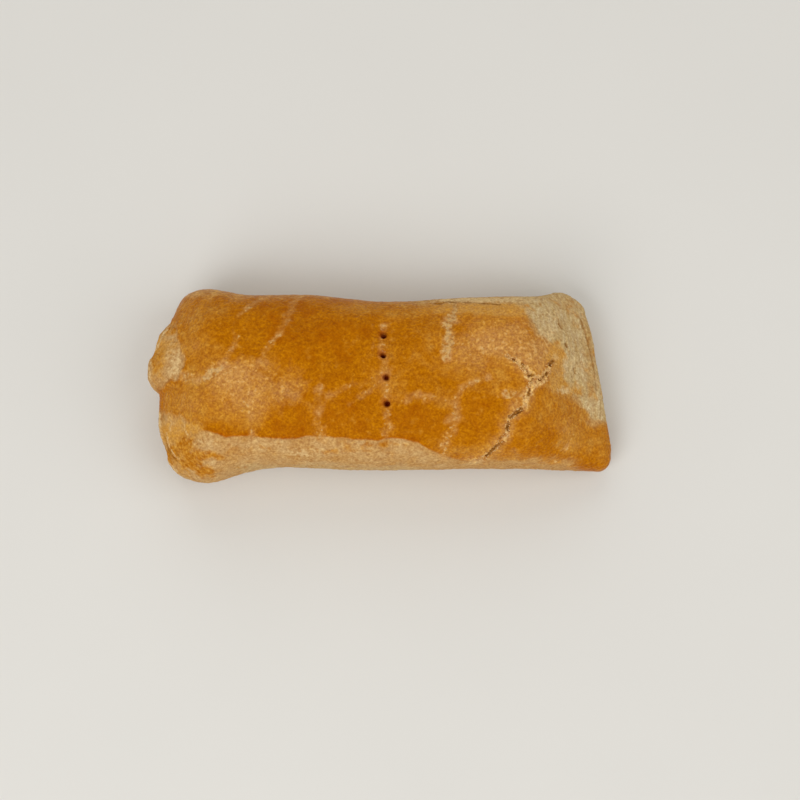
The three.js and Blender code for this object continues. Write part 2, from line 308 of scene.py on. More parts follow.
# Pale, floury places.
PALE_SPOTS = [
    # Front left corner and front band.
    Spot((-51.0, -16.4), (5.0, 1.6), 0.5), Spot((-22.5, -20.0), (5.0, 1.8), 0.65),
    # Tongue.
    Spot((-58.6, 6.0), (1.4, 4.0), 0.4), Spot((-61.0, 3.0), (2.0, 2.0), 0.3),
    Spot((-60.0, 8.0), (2.4, 6.0), 0.5),
    # Right end.
    Spot((50.0, 15.0), (3.0, 3.0), 0.5), Spot((56.4, 7.0), (2.4, 6.0), 0.5),
    Spot((58.6, -5.4), (1.0, 3.4), 0.2), Spot((53.4, -1.8), (2.4, 1.4), 0.8),
    Spot((47.0, 14.4), (2.5, 2.5), 0.4), Spot((50.5, 7.8), (1.6, 2.0), 0.5),
    # Back rim.
    Spot((50.0, 20.6), (4.0, 1.6), 0.4), Spot((28.0, 24.6), (22.0, 1.3), 0.9),
]

# Wash that ran together along its edge.
POOLS = [Swell(-45, 4, 1.0), Swell(-38.5, 3, 0.8), Swell(-27, 7, 1.0), Swell(-4, 12, 0.6), Swell(9, 8, 0.6)]

# Tones of the wash: thick and browned (+), or brushed thin (-).
WASH_TONES = [
    # Thick wash.
    Spot((-15.3, 13.8), (14, 6), 0.9), Spot((-11.4, -7.4), (10, 5), 0.85), Spot((13.0, -10.3), (8, 5), 1.0),
    Spot((28.1, -8.3), (7, 6), 0.5), Spot((-26.9, -12.2), (8, 3), 0.6), Spot((-47.1, -12.6), (5, 2.5), 0.35),
    Spot((-28.8, 17.8), (8, 5), 0.6), Spot((45.5, -10.3), (8, 6), 0.3),
    # Thin wash towards the left end, and painted light on its end face and back slope.
    # Painted light: the spot at (-60.5, -5) lightens the left end face, which falls into shade.
    Spot((-60.5, -5), (3, 4), -1.0), Spot((-32.6, -1.6), (12, 5), -0.65), Spot((-45.3, 1.3), (6, 4), -0.65),
    # Painted light: the spot at (-51, 21.5) lightens the back slope, which falls into shade.
    Spot((-55.9, 17.8), (5, 6), -0.9), Spot((-40.0, -8.6), (8, 3.4), -0.9), Spot((-51, 21.5), (6, 4), -1.1),
    Spot((-53.5, -6.5), (5, 7), -1.3), Spot((-51, 8.6), (6, 5), -0.9), Spot((-53, 1), (4, 4), -0.7),
    Spot((-36.4, -10), (3, 3), -0.6), Spot((-39.8, -12.4), (3.5, 2.5), -0.6),
    Spot((-46.7, -6.5), (4, 3), -0.7),
    # Thin wash in the middle, and painted light on the back slope.
    Spot((10.5, 15.8), (7, 8), -0.5), Spot((23.3, 7.1), (5, 4), -0.5), Spot((-3.8, 9), (4, 4), -0.4),
    # Painted light: the long spots at (24, 21.8) and (-2, 21.8) lighten the back slope, which falls into
    # shade.
    Spot((24, 21.8), (16, 2.6), -1.2), Spot((-2, 21.8), (10, 2.6), -1.2), Spot((2, -2), (5, 8), -0.4),
    Spot((14, 2.6), (10, 5), -0.45), Spot((24, -19.5), (8, 2.5), -1.2), Spot((16.5, -6), (4, 2.5), -0.7),
    Spot((5.5, -4), (3.5, 4), -0.6), Spot((15.5, 11), (4, 4), -0.6), Spot((-1.6, 0.7), (3, 3), -0.5),
    Spot((19.5, -6), (2.5, 2), -0.6),
    # Thin wash towards the right end.
    Spot((64.5, -18), (4, 6), -1.1), Spot((34.9, 13.8), (9, 6), -0.9), Spot((53.1, -5.4), (5, 4), -1.0),
    Spot((55.1, -16), (5, 5), -1.1), Spot((46.5, 10.5), (5, 5), -1.2), Spot((40, 4), (7, 5), -0.9),
    Spot((41, -4.4), (6, 5), -0.7), Spot((32, 0), (7, 6), -0.5), Spot((58, -11.5), (3.5, 3), -0.8),
    Spot((48, -11), (5, 3), -0.4), Spot((33, -16), (3.5, 4), -0.9), Spot((35.5, -9.6), (3, 3), -0.6),
    Spot((47, -6), (4, 3), -0.5), Spot((54, -9.6), (4, 3), -0.7), Spot((40.5, -13.2), (4, 3), -0.7),
    Spot((57.5, -13.5), (3.5, 3), -0.7),
]

# Painted sheen, laid on as bloom: where the wash dried pale and floury, and where its sheen would show.
BLOOM_AND_SHEEN_SPOTS = [
    # Left half.
    Spot((-31.5, -0.5), (13, 6.5), 0.55), Spot((-46, 2), (7, 5), 0.5), Spot((-40, 4.6), (8, 4), 0.5),
    Spot((-40.5, -5.4), (9, 5.5), 0.5), Spot((-55, -6), (4, 5), 0.45), Spot((-53.7, 11), (3.5, 4), 0.45),
    Spot((-25.5, -2.8), (4, 3), 0.4), Spot((-36.5, -9.5), (3, 3), 0.35),
    # Right half, round the crack.
    Spot((32, 14), (11, 6.5), 0.75), Spot((25, 8.4), (7, 5.5), 0.45), Spot((44.5, 7.8), (3.4, 3), 0.65),
    Spot((41, 15.5), (5, 5), 0.45), Spot((52, -12), (7, 5), 0.3), Spot((47.5, 10.8), (4, 3.6), 0.95),
    Spot((40, 8), (4, 3), 0.7), Spot((46.8, 4), (3.4, 3), 0.75), Spot((39.4, -6), (3, 3), 0.9),
    Spot((30, 4), (7, 4), 0.25), Spot((33.4, 11), (3.4, 2), 0.5), Spot((55.5, -14), (4, 4), 0.3),
]

# Sheets of dough that show as layers round both end faces: how far in from the rim, and how deep.
END_LAYERS = [(2.6, 0.5), (6.0, 0.35), (10.5, 0.3)]

# The crust's patches in the picture meant for baking its material: shares of the square.
BAKE_PATCHES = {
    "top": Patch(0.02, 0.02, 0.96, 0.33),
    "front": Patch(0.02, 0.37, 0.96, 0.20),
    "back": Patch(0.02, 0.59, 0.96, 0.20),
    "left": Patch(0.02, 0.81, 0.36, 0.17),
    "right": Patch(0.40, 0.81, 0.36, 0.17),
    "base": Patch(0.78, 0.81, 0.20, 0.17),
}

# Stage: three soft lamps round the roll, and the floor just under it.
LAMPS = {
    "key": Lamp((-420, -620, 760), 700, 5.8),
    "fill": Lamp((700, -200, 700), 900, 3.2),
    "back": Lamp((-100, 800, 600), 900, 2.2),
}
FLOOR_HALF_WIDTH = 2000
FLOOR_SEGMENTS = 8
FLOOR_GAP = 0.1


def linear(hex_colour):
    """An sRGB hex colour as linear red, green and blue."""
    channels = [int(hex_colour[i:i + 2], 16) / 255 for i in (0, 2, 4)]
    return [c / 12.92 if c <= 0.04045 else ((c + 0.055) / 1.055) ** 2.4 for c in channels]


def colour_setting(name, description, hex_colour):
    return bpy.props.FloatVectorProperty(
        name=name, description=description, subtype="COLOR", size=3, min=0, max=1, default=linear(hex_colour))


def length_setting(name, description, millimetres):
    return bpy.props.FloatProperty(
        name=name, description=description, unit="LENGTH", min=0, precision=5, default=millimetres * MM)


class CrustSettings(bpy.types.PropertyGroup):
    """Colours and relief of the crust."""
    wash: colour_setting("Egg wash", "Golden brown of the baked egg wash", "B26A04")
    deep_wash: colour_setting("Deep wash", "Wash where it browned most", "A45800")
    thin_wash: colour_setting("Thin wash", "Wash brushed thin over the dough", "C08430")
    # Colour of the painted sheen, laid on as a pale, floury bloom. The splits' rift takes it too.
    bloom_and_sheen: colour_setting("Bloom", "Pale, floury bloom where the wash dried", "C69054")
    # Colour of the painted glints in the painted sheen.
    painted_glint: colour_setting("Fleck", "Pale flecks in the dried wash", "D8AC70")
    sheen: colour_setting("Sheen", "Warm tint of the wash's sheen", "F2C880")
    pool: colour_setting("Pooled wash", "Wash that ran together along its edge", "A95202")
    dough: colour_setting("Bare dough", "Baked dough without wash", "C9A26C")
    tan_dough: colour_setting("Tan dough", "Bare dough where it browned a little", "BA884A")
    golden_dough: colour_setting("Golden dough", "Bare dough that browned to gold", "D6A254")
    dull_dough: colour_setting("Dull dough", "Floury bare dough of the pinched end", "CDB488")
    # Streak colour, also used for the painted shade on rims and the foot.
    floury_tan: colour_setting("Floury tan", "Streaks in the floury dough", "BC9A62")
    split: colour_setting("Split", "Dough that shows where the wash tore", "C09050")
    crumb: colour_setting("Crumb", "Broken crumb along the crack", "F0D6A0")
    # Colour of the painted shade in the crack's gaps, the folds, the pits and the lines between layers.
    hollow_shade: colour_setting("Hollow", "Inside of the crack, folds and pits", "8E6226")
    prick: colour_setting("Prick", "Browned walls of the fork pricks", "8E2E04")
    base: colour_setting("Base", "Underside browned by the baking tray", "9C6428")
    crack_depth: length_setting("Crack depth", "Depth of the crack at its widest", 0.9)
    prick_depth: length_setting("Prick depth", "Depth of the fork pricks", 2.4)
    lump_height: length_setting("Lump height", "Height of the crust's soft lumps", 0.14)
    grain_height: length_setting("Grain height", "Height of the crust's fine grain", 0.09)


class CrumbSettings(bpy.types.PropertyGroup):
    """Crumbs that the crack broke out of the crust."""
    count: bpy.props.IntProperty(name="Count", description="Number of crumbs", min=1, default=220)
    smallest: length_setting("Smallest", "Radius of the smallest crumb", 0.08)
    largest: length_setting("Largest", "Radius of the largest crumb", 0.26)
    seed: bpy.props.IntProperty(name="Seed", description="Seed of the crumbs' places", default=11)


class StageSettings(bpy.types.PropertyGroup):
    """Floor and light."""
    floor: colour_setting("Floor", "Matt pale board under the roll", "DDDCD8")
    lamp_power: bpy.props.FloatProperty(
        name="Lamp power", description="Factor on the power of all lamps", min=0, default=1)
    sky: colour_setting("Sky", "Even light from all round", "FFFAF2")
    sky_strength: bpy.props.FloatProperty(
        name="Sky strength", description="Strength of the even light", min=0, default=0.42)


def smooth_step(x, low, high):
    u = np.clip((x - low) / (high - low), 0, 1)
    return u * u * (3 - 2 * u)


def bell(x, at, reach):
    return np.exp(-(((x - at) / reach) ** 2))


def raised(x, swell):
    """Height of one swell at x."""
    return swell.by * bell(x, swell.at, swell.reach)


def swollen(half_width, swells, x):
    return half_width + sum(raised(x, swell) for swell in swells)


def crown_at(x):
    """Height of the crown: full in the middle, falling to a share of its rise at each end."""
    left = 1 - smooth_step(-x, -LEFT_FALL.start, -LEFT_FALL.end)
    right = 1 - smooth_step(x, RIGHT_FALL.start, RIGHT_FALL.end)
    rise = (CROWN_HEIGHT - PINCHED_HEIGHT) * (LEFT_FALL.share_left + (1 - LEFT_FALL.share_left) * left)
    rise *= RIGHT_FALL.share_left + (1 - RIGHT_FALL.share_left) * right
    return PINCHED_HEIGHT + rise - raised(x, PRICK_DIP)


def corner_draw(t, corner):
    """How far an end draws back towards one corner; t runs from 0 at the middle to 1 at the side."""
    sideways = np.sin(np.clip(t, -1, 1) * math.pi / 2)
    u = np.clip((sideways - corner.start) / (1 - corner.start), 0, 1)
    return corner.size * u * u


def end_shift(x, t, y, z):
    """How far both ends shift along the roll: corners, tongue and slant."""
    tongue = sum(lobe.out * np.exp(-(((y - lobe.at) / lobe.reach) ** 4)) for lobe in TONGUE_LOBES)
    left = corner_draw(-t, LEFT_FRONT_CORNER) + corner_draw(t, LEFT_BACK_CORNER)
    left = left - tongue * smooth_step(z, *TONGUE_UNDERSIDE)
    u = np.maximum(t - SLANT_START, 0)
    right = -(SLANT_RATE * u + SLANT_GROWTH * u * u) - corner_draw(t, RIGHT_BACK_CORNER)
    near_left = np.clip(1 - (x - LEFT_END) / LEFT_END_REACH, 0, 1) ** 2
    near_right = np.clip(1 - (RIGHT_END - x) / RIGHT_END_REACH, 0, 1) ** 2
    return left * near_left + right * near_right


def bend_to_roll(cube):
    """Bends points of the cube from -1 to 1 to the skin of the roll."""
    a, b, c = cube.T
    ring = np.maximum(np.abs(b), np.abs(c))
    roundness = np.where(c >= 0, UPPER_ROUNDNESS, LOWER_ROUNDNESS)
    norm = (np.abs(b) ** roundness + np.abs(c) ** roundness) ** (1 / roundness)
    norm = np.where(ring > 0, norm, 1)
    across = b / norm
    up = c / norm

    fillet = np.where(a < 0, LEFT_FILLET, RIGHT_FILLET)
    turn = np.clip((np.abs(a) - SIDE_SHARE) / (1 - SIDE_SHARE), 0, 1) * math.pi / 2
    inset = fillet * (1 - np.cos(turn))
    along = np.clip((a / SIDE_SHARE + 1) / 2, 0, 1)
    x = LEFT_END + LEFT_FILLET + along * (RIGHT_END - RIGHT_FILLET - LEFT_END - LEFT_FILLET)
    x = x + np.sign(a) * fillet * np.sin(turn)

    back = swollen(BACK_HALF_WIDTH, BACK_SWELLS, x)
    front = swollen(FRONT_HALF_WIDTH, FRONT_SWELLS, x)
    crown = crown_at(x)
    widest = WIDEST_AT_SHARE * crown
    t = across * ring
    y = (back - front) / 2 + t * ((back + front) / 2 - inset)
    above = widest + up * ring * (crown - widest - inset)
    below = np.maximum(widest + up * ring * (widest + FLAT_BASE_SINK - inset), 0)
    z = np.where(c >= 0, above, below)
    lump = sum(wave.height * np.sin(wave.along * x + wave.across * y + wave.phase) for wave in LUMPS)
    z = z + np.maximum(up, 0) * ring * (1 - inset / fillet) * lump
    return np.column_stack((x + end_shift(x, t, y, z), y, z))


def as_seen(points):
    """Places of points on the plan of marks."""
    from_target = points - CAMERA_TARGET
    spread = CAMERA_DISTANCE / (CAMERA_DISTANCE - from_target @ CAMERA_BACK)
    return np.column_stack((from_target[:, 0] * spread, from_target @ CAMERA_UP * spread)) + MARKS_ORIGIN


def path_distance(plan, path):
    """Distance of places on the plan to the line through a path's points."""
    starts = np.array(path[:-1], float)
    steps = np.diff(np.array(path, float), axis=0)
    nearest = np.full(len(plan), np.inf)
    for start, step in zip(starts, steps):
        offset = plan - start
        share = np.clip(offset @ step / (step @ step), 0, 1)
        nearest = np.minimum(nearest, np.linalg.norm(offset - share[:, None] * step, axis=1))
    return nearest


def distance_inside(plan, outline):
    """Distance of places on the plan to a closed outline, positive inside it."""
    corners = np.array(outline, float)
    inside = np.zeros(len(plan), bool)
    for (x0, y0), (x1, y1) in zip(corners, np.roll(corners, -1, axis=0)):
        crosses = (y0 > plan[:, 1]) != (y1 > plan[:, 1])
        if y0 != y1:
            inside ^= crosses & (plan[:, 0] < x0 + (plan[:, 1] - y0) * (x1 - x0) / (y1 - y0))
    return np.where(inside, 1, -1) * path_distance(plan, outline + outline[:1])


def along_line(x, line):
    """Height at x of a line through points, level before its first and after its last."""
    return np.interp(x, *np.array(line).T)


# Each octave of a ripple is finer than the last by this step, and lower by the step to the power of its fall.
OCTAVE_STEP = 2.0
OCTAVE_FALL = 1.0


def rippled(skin, *ripples):
    """Smooth noise on the skin: the sum of some ripples, each about its height up and down."""
    total = np.zeros(len(skin.points))
    for ripple in ripples:
        scaled = skin.points / (ripple.size * np.array(ripple.stretch, float))
        total += ripple.height * np.array(
            [noise.fractal(Vector(place), OCTAVE_FALL, OCTAVE_STEP, ripple.octaves) for place in scaled])
    return total


def crumbly(skin, ripple):
    """Rounded grains on the skin, from half their height below it to half above."""
    hollows = [min(noise.voronoi(Vector(place))[0][0], 1) for place in skin.points / ripple.size]
    return ripple.height * (0.5 - np.array(hollows))


def cube_skin():
    """Grid on the surface of the cube, with the middle of its underside as one face."""
    bm = bmesh.new()
    steps = (
        np.linspace(-1, 1, GRID_ALONG + 1),
        np.linspace(-1, 1, GRID_ACROSS + 1),
        np.r_[np.linspace(-1, 0, GRID_LOW, endpoint=False), np.linspace(0, 1, GRID_UP - GRID_LOW + 1)],
    )
    counts = (GRID_ALONG, GRID_ACROSS, GRID_UP)
    corners = {}

    def corner(*place):
        if place not in corners:
            corners[place] = bm.verts.new([steps[axis][step] for axis, step in enumerate(place)])
        return corners[place]

    margin_along = round((1 - FLAT_ALONG) * GRID_ALONG / 2)
    margin_across = round((1 - FLAT_ACROSS) * GRID_ACROSS / 2)
    left, right = margin_along, GRID_ALONG - margin_along
    front, back = margin_across, GRID_ACROSS - margin_across
    # Each side is fixed along one axis: 0 along the roll, 1 across it, or 2 up.
    for fixed in range(3):
        first, second = (fixed + 1) % 3, (fixed + 2) % 3
        for end in (0, counts[fixed]):
            for m, n in itertools.product(range(counts[first]), range(counts[second])):
                on_flat = fixed == 2 and end == 0 and left <= m < right and front <= n < back
                if on_flat:
                    continue
                ring = [(m, n), (m + 1, n), (m + 1, n + 1), (m, n + 1)]
                # The faces at the low end turn the other way, so that all look out.
                if end == 0:
                    ring = ring[:1] + ring[:0:-1]
                places = [{fixed: end, first: p, second: q} for p, q in ring]
                bm.faces.new([corner(place[0], place[1], place[2]) for place in places])
    rim = [(left, j) for j in range(front, back)]
    rim += [(i, back) for i in range(left, right)]
    rim += [(right, j) for j in range(back, front, -1)]
    rim += [(i, front) for i in range(right, left, -1)]
    bm.faces.new([corner(i, j, 0) for i, j in rim])
    return bm


def places_of(bm):
    return np.array([v.co for v in bm.verts])


# The camera sees the cube's skin above a line that rises from front to back.
SEEN_SLOPE = 0.37
SEEN_START = -0.07


def divide_near(bm, offset, lines):
    """Divides the skin's faces once along lines that the camera sees on it, each with its reach."""
    cube = places_of(bm)
    plan = as_seen(bend_to_roll(cube) + offset)
    near = np.zeros(len(cube), bool)
    for reach, path in lines:
        near |= path_distance(plan, path) < reach
    near &= cube[:, 2] > SEEN_SLOPE * cube[:, 1] + SEEN_START
    bm.verts.index_update()
    edges = {edge for face in bm.faces if any(near[v.index] for v in face.verts) for edge in face.edges}
    bmesh.ops.subdivide_edges(bm, edges=list(edges), cuts=1, use_grid_fill=True)


def on_solid(points):
    """Offset that sets the roll's box on the box of its solid."""
    low, high = (np.array(corner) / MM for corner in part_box(NODE))
    offset = (low + high - points.min(0) - points.max(0)) / 2
    offset[2] = low[2] - points[:, 2].min()
    return offset


# How far from a mark the grid is divided, once or twice. A prick counts as a short stub of a line.
CRACK_FINE = 1.8
CRACK_FINEST = 1.3
LINE_FINE = 0.9
WASH_EDGE_FINE = 0.7
TONGUE_FINE = 1.2
PRICK_STUB = 0.1


def divided_skin():
    """The skin's grid on the cube, divided near the marks, and its offset on the solid."""
    bm = cube_skin()
    offset = on_solid(bend_to_roll(places_of(bm)))
    cracked = CRACK + [[(u - PRICK_STUB, v), (u + PRICK_STUB, v)] for u, v in PRICKS]
    lines = [(CRACK_FINE, path) for path in cracked]
    lines += [(LINE_FINE, line.points) for line in SPLITS + FOLDS]
    lines += [(WASH_EDGE_FINE, FRONT_WASH_EDGE), (TONGUE_FINE, TONGUE_SEAM)]
    divide_near(bm, offset, lines)
    divide_near(bm, offset, [(CRACK_FINEST, path) for path in cracked])
    bmesh.ops.triangulate(bm, faces=[face for face in bm.faces if len(face.verts) > 4])
    return bm, offset


# Cosines of the angle to the camera between which the skin comes into sight.
COMING_INTO_SIGHT = (-0.02, 0.14)


def skin_of(mesh, points):
    """Moves a mesh to the bent skin, and tells where its points lie, face and show."""
    mesh.vertices.foreach_set("co", points.astype(np.float32).ravel())
    mesh.update()
    normals = np.empty(len(points) * 3, np.float32)
    mesh.vertex_normals.foreach_get("vector", normals)
    normals = normals.reshape(-1, 3).astype(float)
    to_camera = CAMERA_TARGET + CAMERA_DISTANCE * CAMERA_BACK - points
    to_camera /= np.linalg.norm(to_camera, axis=1)[:, None]
    seen = smooth_step((normals * to_camera).sum(1), *COMING_INTO_SIGHT)
    return Skin(points, normals, as_seen(points), seen)


def at_least(fields, name, values):
    """Raises a field to the values where it is lower."""
    fields[name] = np.maximum(fields[name], values)


# Fork pricks narrow from rim to bottom, at shares of their radius. Each lies in a shallow browned dimple.
PRICK_BOTTOM = 0.2
PRICK_RIM = 1.2
PRICK_WAVER = Ripple(0.2, 1.1)
DIMPLE_SHADE = 0.55
DIMPLE_REACH = 1.5
DIMPLE_DEPTH = 0.25


def prick_relief(skin, fields, depth):
    """Fork pricks: holes that narrow downwards in a browned dimple."""
    nearest = np.min([np.linalg.norm(skin.plan - place, axis=1) for place in PRICKS], axis=0)
    dimple = np.min([np.linalg.norm(skin.plan - place - DIMPLE_SHIFT, axis=1) for place in PRICKS], axis=0)
    nearest = nearest + rippled(skin, PRICK_WAVER)
    hole = (1 - smooth_step(nearest, PRICK_BOTTOM * PRICK_RADIUS, PRICK_RIM * PRICK_RADIUS)) * skin.seen
    halo = DIMPLE_SHADE * bell(dimple, 0, DIMPLE_REACH * PRICK_RADIUS) * skin.seen
    fields["prick"] = np.maximum(hole, halo)
    return -depth * hole - DIMPLE_DEPTH * halo


# The crack's gaps are ragged and pitted, and fade out past their half width. Elsewhere a fine seam is left.
CRACK_WAVER = [Ripple(0.35, 1.2), Ripple(0.3, 0.5)]
CRACK_PITS = Ripple(1, 1.1)
CRACK_PIT_EDGE = (-0.2, 0.2)
CRACK_PIT_FLOOR = 0.65
GAP_REACH = 1.55
SEAM_DEPTH = 0.25
SEAM_WIDTH = 0.25
CRACK_HALF_WIDTH = 1.6
# Painted shade in the crack, by the depth of its gaps.
CRACK_SHADE = (0.15, 0.8)

# Beside the crack: raised lips, crumbling margins that are widest round the fork, and painted sheen as bloom.
CRACK_LIPS = Swell(0.8, 0.7, 0.12)
CRACK_GRAIN = Ripple(0.3, 0.8)
MARGIN_AT_FORK = Swell(0, 4.5, 1.1)
MARGIN_WAVER = Ripple(0.9, 1.7, 2)
MARGIN_EDGE = (-1.2, 0.6)
CRACK_BLOOM_AND_SHEEN = Swell(0, 2.8, 0.8)


def crack_relief(skin, fields, depth):
    """The crack: ragged gaps between crumbling lips, with a fine seam where it has all but closed."""
    distance = np.min([path_distance(skin.plan, path) for path in CRACK], axis=0)
    fork = np.linalg.norm(skin.plan - CRACK_FORK, axis=1)
    ragged = rippled(skin, *CRACK_WAVER)
    pitted = smooth_step(rippled(skin, CRACK_PITS), *CRACK_PIT_EDGE)
    pitted = CRACK_PIT_FLOOR + (1 - CRACK_PIT_FLOOR) * pitted
    groove = SEAM_DEPTH * bell(distance + ragged, 0, SEAM_WIDTH)
    for line in CRACK_GAPS:
        across = (path_distance(skin.plan, line.points) + ragged) / line.half_width
        groove = np.maximum(groove, line.depth * pitted * np.clip(GAP_REACH - across, 0, 1))
    groove = groove * (distance < CRACK_HALF_WIDTH) * skin.seen
    margin = along_line(skin.plan[:, 1], CRACK_MARGINS) + raised(fork, MARGIN_AT_FORK)
    margin = margin + rippled(skin, MARGIN_WAVER)
    crumb = smooth_step(margin - distance, *MARGIN_EDGE) * skin.seen
    fields["crumb"] = crumb
    # Painted sheen as bloom along the crack.
    at_least(fields, "bloom_and_sheen", raised(distance, CRACK_BLOOM_AND_SHEEN) * skin.seen)
    at_least(fields, "hollow_shade", smooth_step(groove, *CRACK_SHADE))
    lips = raised(distance, CRACK_LIPS) * skin.seen
    return lips + crumb * crumbly(skin, CRACK_GRAIN) - depth * groove


# Splits waver at their edges and fade in and out along them. The deepest are pitted and grainy.
SPLIT_WAVER = Ripple(0.5, 3, 2)
SPLIT_EDGE = (0, 2)
SPLIT_STRENGTH = 0.9
SPLIT_FADING = Ripple(0.5, 4)
SPLIT_LIMIT = 1.2
SPLIT_PITTED = (0.5, 1.0)
SPLIT_PITS = Ripple(1, 0.8)
SPLIT_PIT_EDGE = (0.2, 0.45)
# Painted shade in the splits' pits.
SPLIT_PIT_SHADE = 0.3
SPLIT_PIT_DEPTH = 0.2
SPLIT_GRAIN = Ripple(0.15, 0.9)


def split_relief(skin, fields):
    """Splits: shallow torn bands in the wash, grainy and pitted where they are deepest."""
    torn = np.zeros(len(skin.plan))
    waver = rippled(skin, SPLIT_WAVER)
    for line in SPLITS:
        across = path_distance(skin.plan, line.points) / line.half_width + waver
        torn = np.maximum(torn, line.depth / DEEPEST_SPLIT * (1 - smooth_step(across, *SPLIT_EDGE)))
    torn = np.minimum(torn * (SPLIT_STRENGTH + rippled(skin, SPLIT_FADING)), SPLIT_LIMIT) * skin.seen
    pits = smooth_step(torn, *SPLIT_PITTED) * smooth_step(rippled(skin, SPLIT_PITS), *SPLIT_PIT_EDGE)
    fields["split"] = torn
    at_least(fields, "hollow_shade", SPLIT_PIT_SHADE * pits)
    return torn * crumbly(skin, SPLIT_GRAIN) - DEEPEST_SPLIT * torn - SPLIT_PIT_DEPTH * pits


# A fold gets painted shade by its depth, up to a limit, and a ridge a painted highlight by its height.
FOLD_WAVER = Ripple(0.25, 3)
FOLD_SHADE = 2
FOLD_SHADE_LIMIT = 0.7
RIDGE_HIGHLIGHT = 5


def fold_relief(skin, fields):
    """Folds and ridges of the rims, wrinkles, and pits, with painted shade and painted highlights."""
    relief = np.zeros(len(skin.plan))
    waver = rippled(skin, FOLD_WAVER)
    for line in FOLDS:
        share = bell(path_distance(skin.plan, line.points) + waver, 0, line.half_width) * skin.seen
        relief -= line.depth * share
        if line.depth > 0:
            at_least(fields, "hollow_shade", min(FOLD_SHADE * line.depth, FOLD_SHADE_LIMIT) * share)
        else:
            at_least(fields, "pale_and_lit", -RIDGE_HIGHLIGHT * line.depth * share)
    return relief


# The tongue's edge wavers more where the camera doesn't see it.
# Inside the edge, the dough steps down and rises again.
TONGUE_RIPPLE = Ripple(1, 2.5, 2)
TONGUE_WAVER_UNSEEN = 1.3
TONGUE_WAVER_SEEN = 0.5
TONGUE_STEP = 0.6
TONGUE_STEP_EDGE = (-0.4, 0.7)
TONGUE_STEP_RUN = 2.5
TONGUE_LIP = Swell(-0.8, 0.8, 0.15)


def tongue_relief(skin, fields):
    """The tongue of dough lies a step below the edge of the crust that it pushed out of."""
    waver = TONGUE_WAVER_UNSEEN + (TONGUE_WAVER_SEEN - TONGUE_WAVER_UNSEEN) * skin.seen
    inside = distance_inside(skin.plan, TONGUE) + waver * rippled(skin, TONGUE_RIPPLE)
    fields["tongue"] = inside / TONGUE_EDGE_SOFTNESS
    step = TONGUE_STEP * np.exp(-np.maximum(inside, 0) / TONGUE_STEP_RUN)
    step = step * smooth_step(inside, *TONGUE_STEP_EDGE)
    return (raised(inside, TONGUE_LIP) - step) * skin.seen


# End faces, left and right: height, half width and roundness of the rim that the layers follow.
END_HEIGHTS = (23.0, 12.5)
END_HALF_WIDTHS = (26.5, 25.0)
END_ROUNDNESS = 3
END_FACING = (0.75, 0.95)
LAYER_WAVER = Ripple(0.8, 6)
LAYER_WIDTH = 0.5
# Painted shade along the lines between layers.
LAYER_SHADE = 0.35


def layer_relief(skin, fields):
    """Sheets of dough that show as layers on both end faces."""
    on_end = smooth_step(np.abs(skin.normals[:, 0]), *END_FACING)
    x, y, z = skin.points.T
    height = np.where(x < 0, *END_HEIGHTS)
    half_width = np.where(x < 0, *END_HALF_WIDTHS)
    outward = np.abs(y / half_width) ** END_ROUNDNESS + np.abs(2 * z / height - 1) ** END_ROUNDNESS
    from_rim = height / 2 * (1 - outward ** (1 / END_ROUNDNESS)) + rippled(skin, LAYER_WAVER)
    relief = np.zeros(len(x))
    for inset, depth in END_LAYERS:
        share = bell(from_rim, inset, LAYER_WIDTH) * on_end
        relief -= depth * share
        at_least(fields, "hollow_shade", LAYER_SHADE * share)
    return relief


# The end faces are bare from where the skin turns this far to face along the roll, with an uneven edge.
BARE_END_FACING = 0.6
BARE_END_SHARPNESS = 6
BARE_END_WAVER = Ripple(2, 5, 2)

# Dull, floury dough: on the right end, and on the front from some way below the edge of the wash.
DULL_END_EDGE = (-0.5, 1.2)
DULL_END_PLACE = (30, 48)
DULL_FRONT = 0.5
DULL_FRONT_BELOW = (5.5, 9)
DULL_FRONT_PLACE = (-48, -36)
DULL_FRONT_DEPTH = (0, 5)

# The film of wash, and the thicker pools at its edge, which thin out above it.
FILM_HEIGHT = 0.1
FILM_EDGE = (-0.4, 0.4)
POOL_HEIGHT = 0.1
POOL_EDGE = (-0.3, 0.2)
POOL_RUN = 1.6


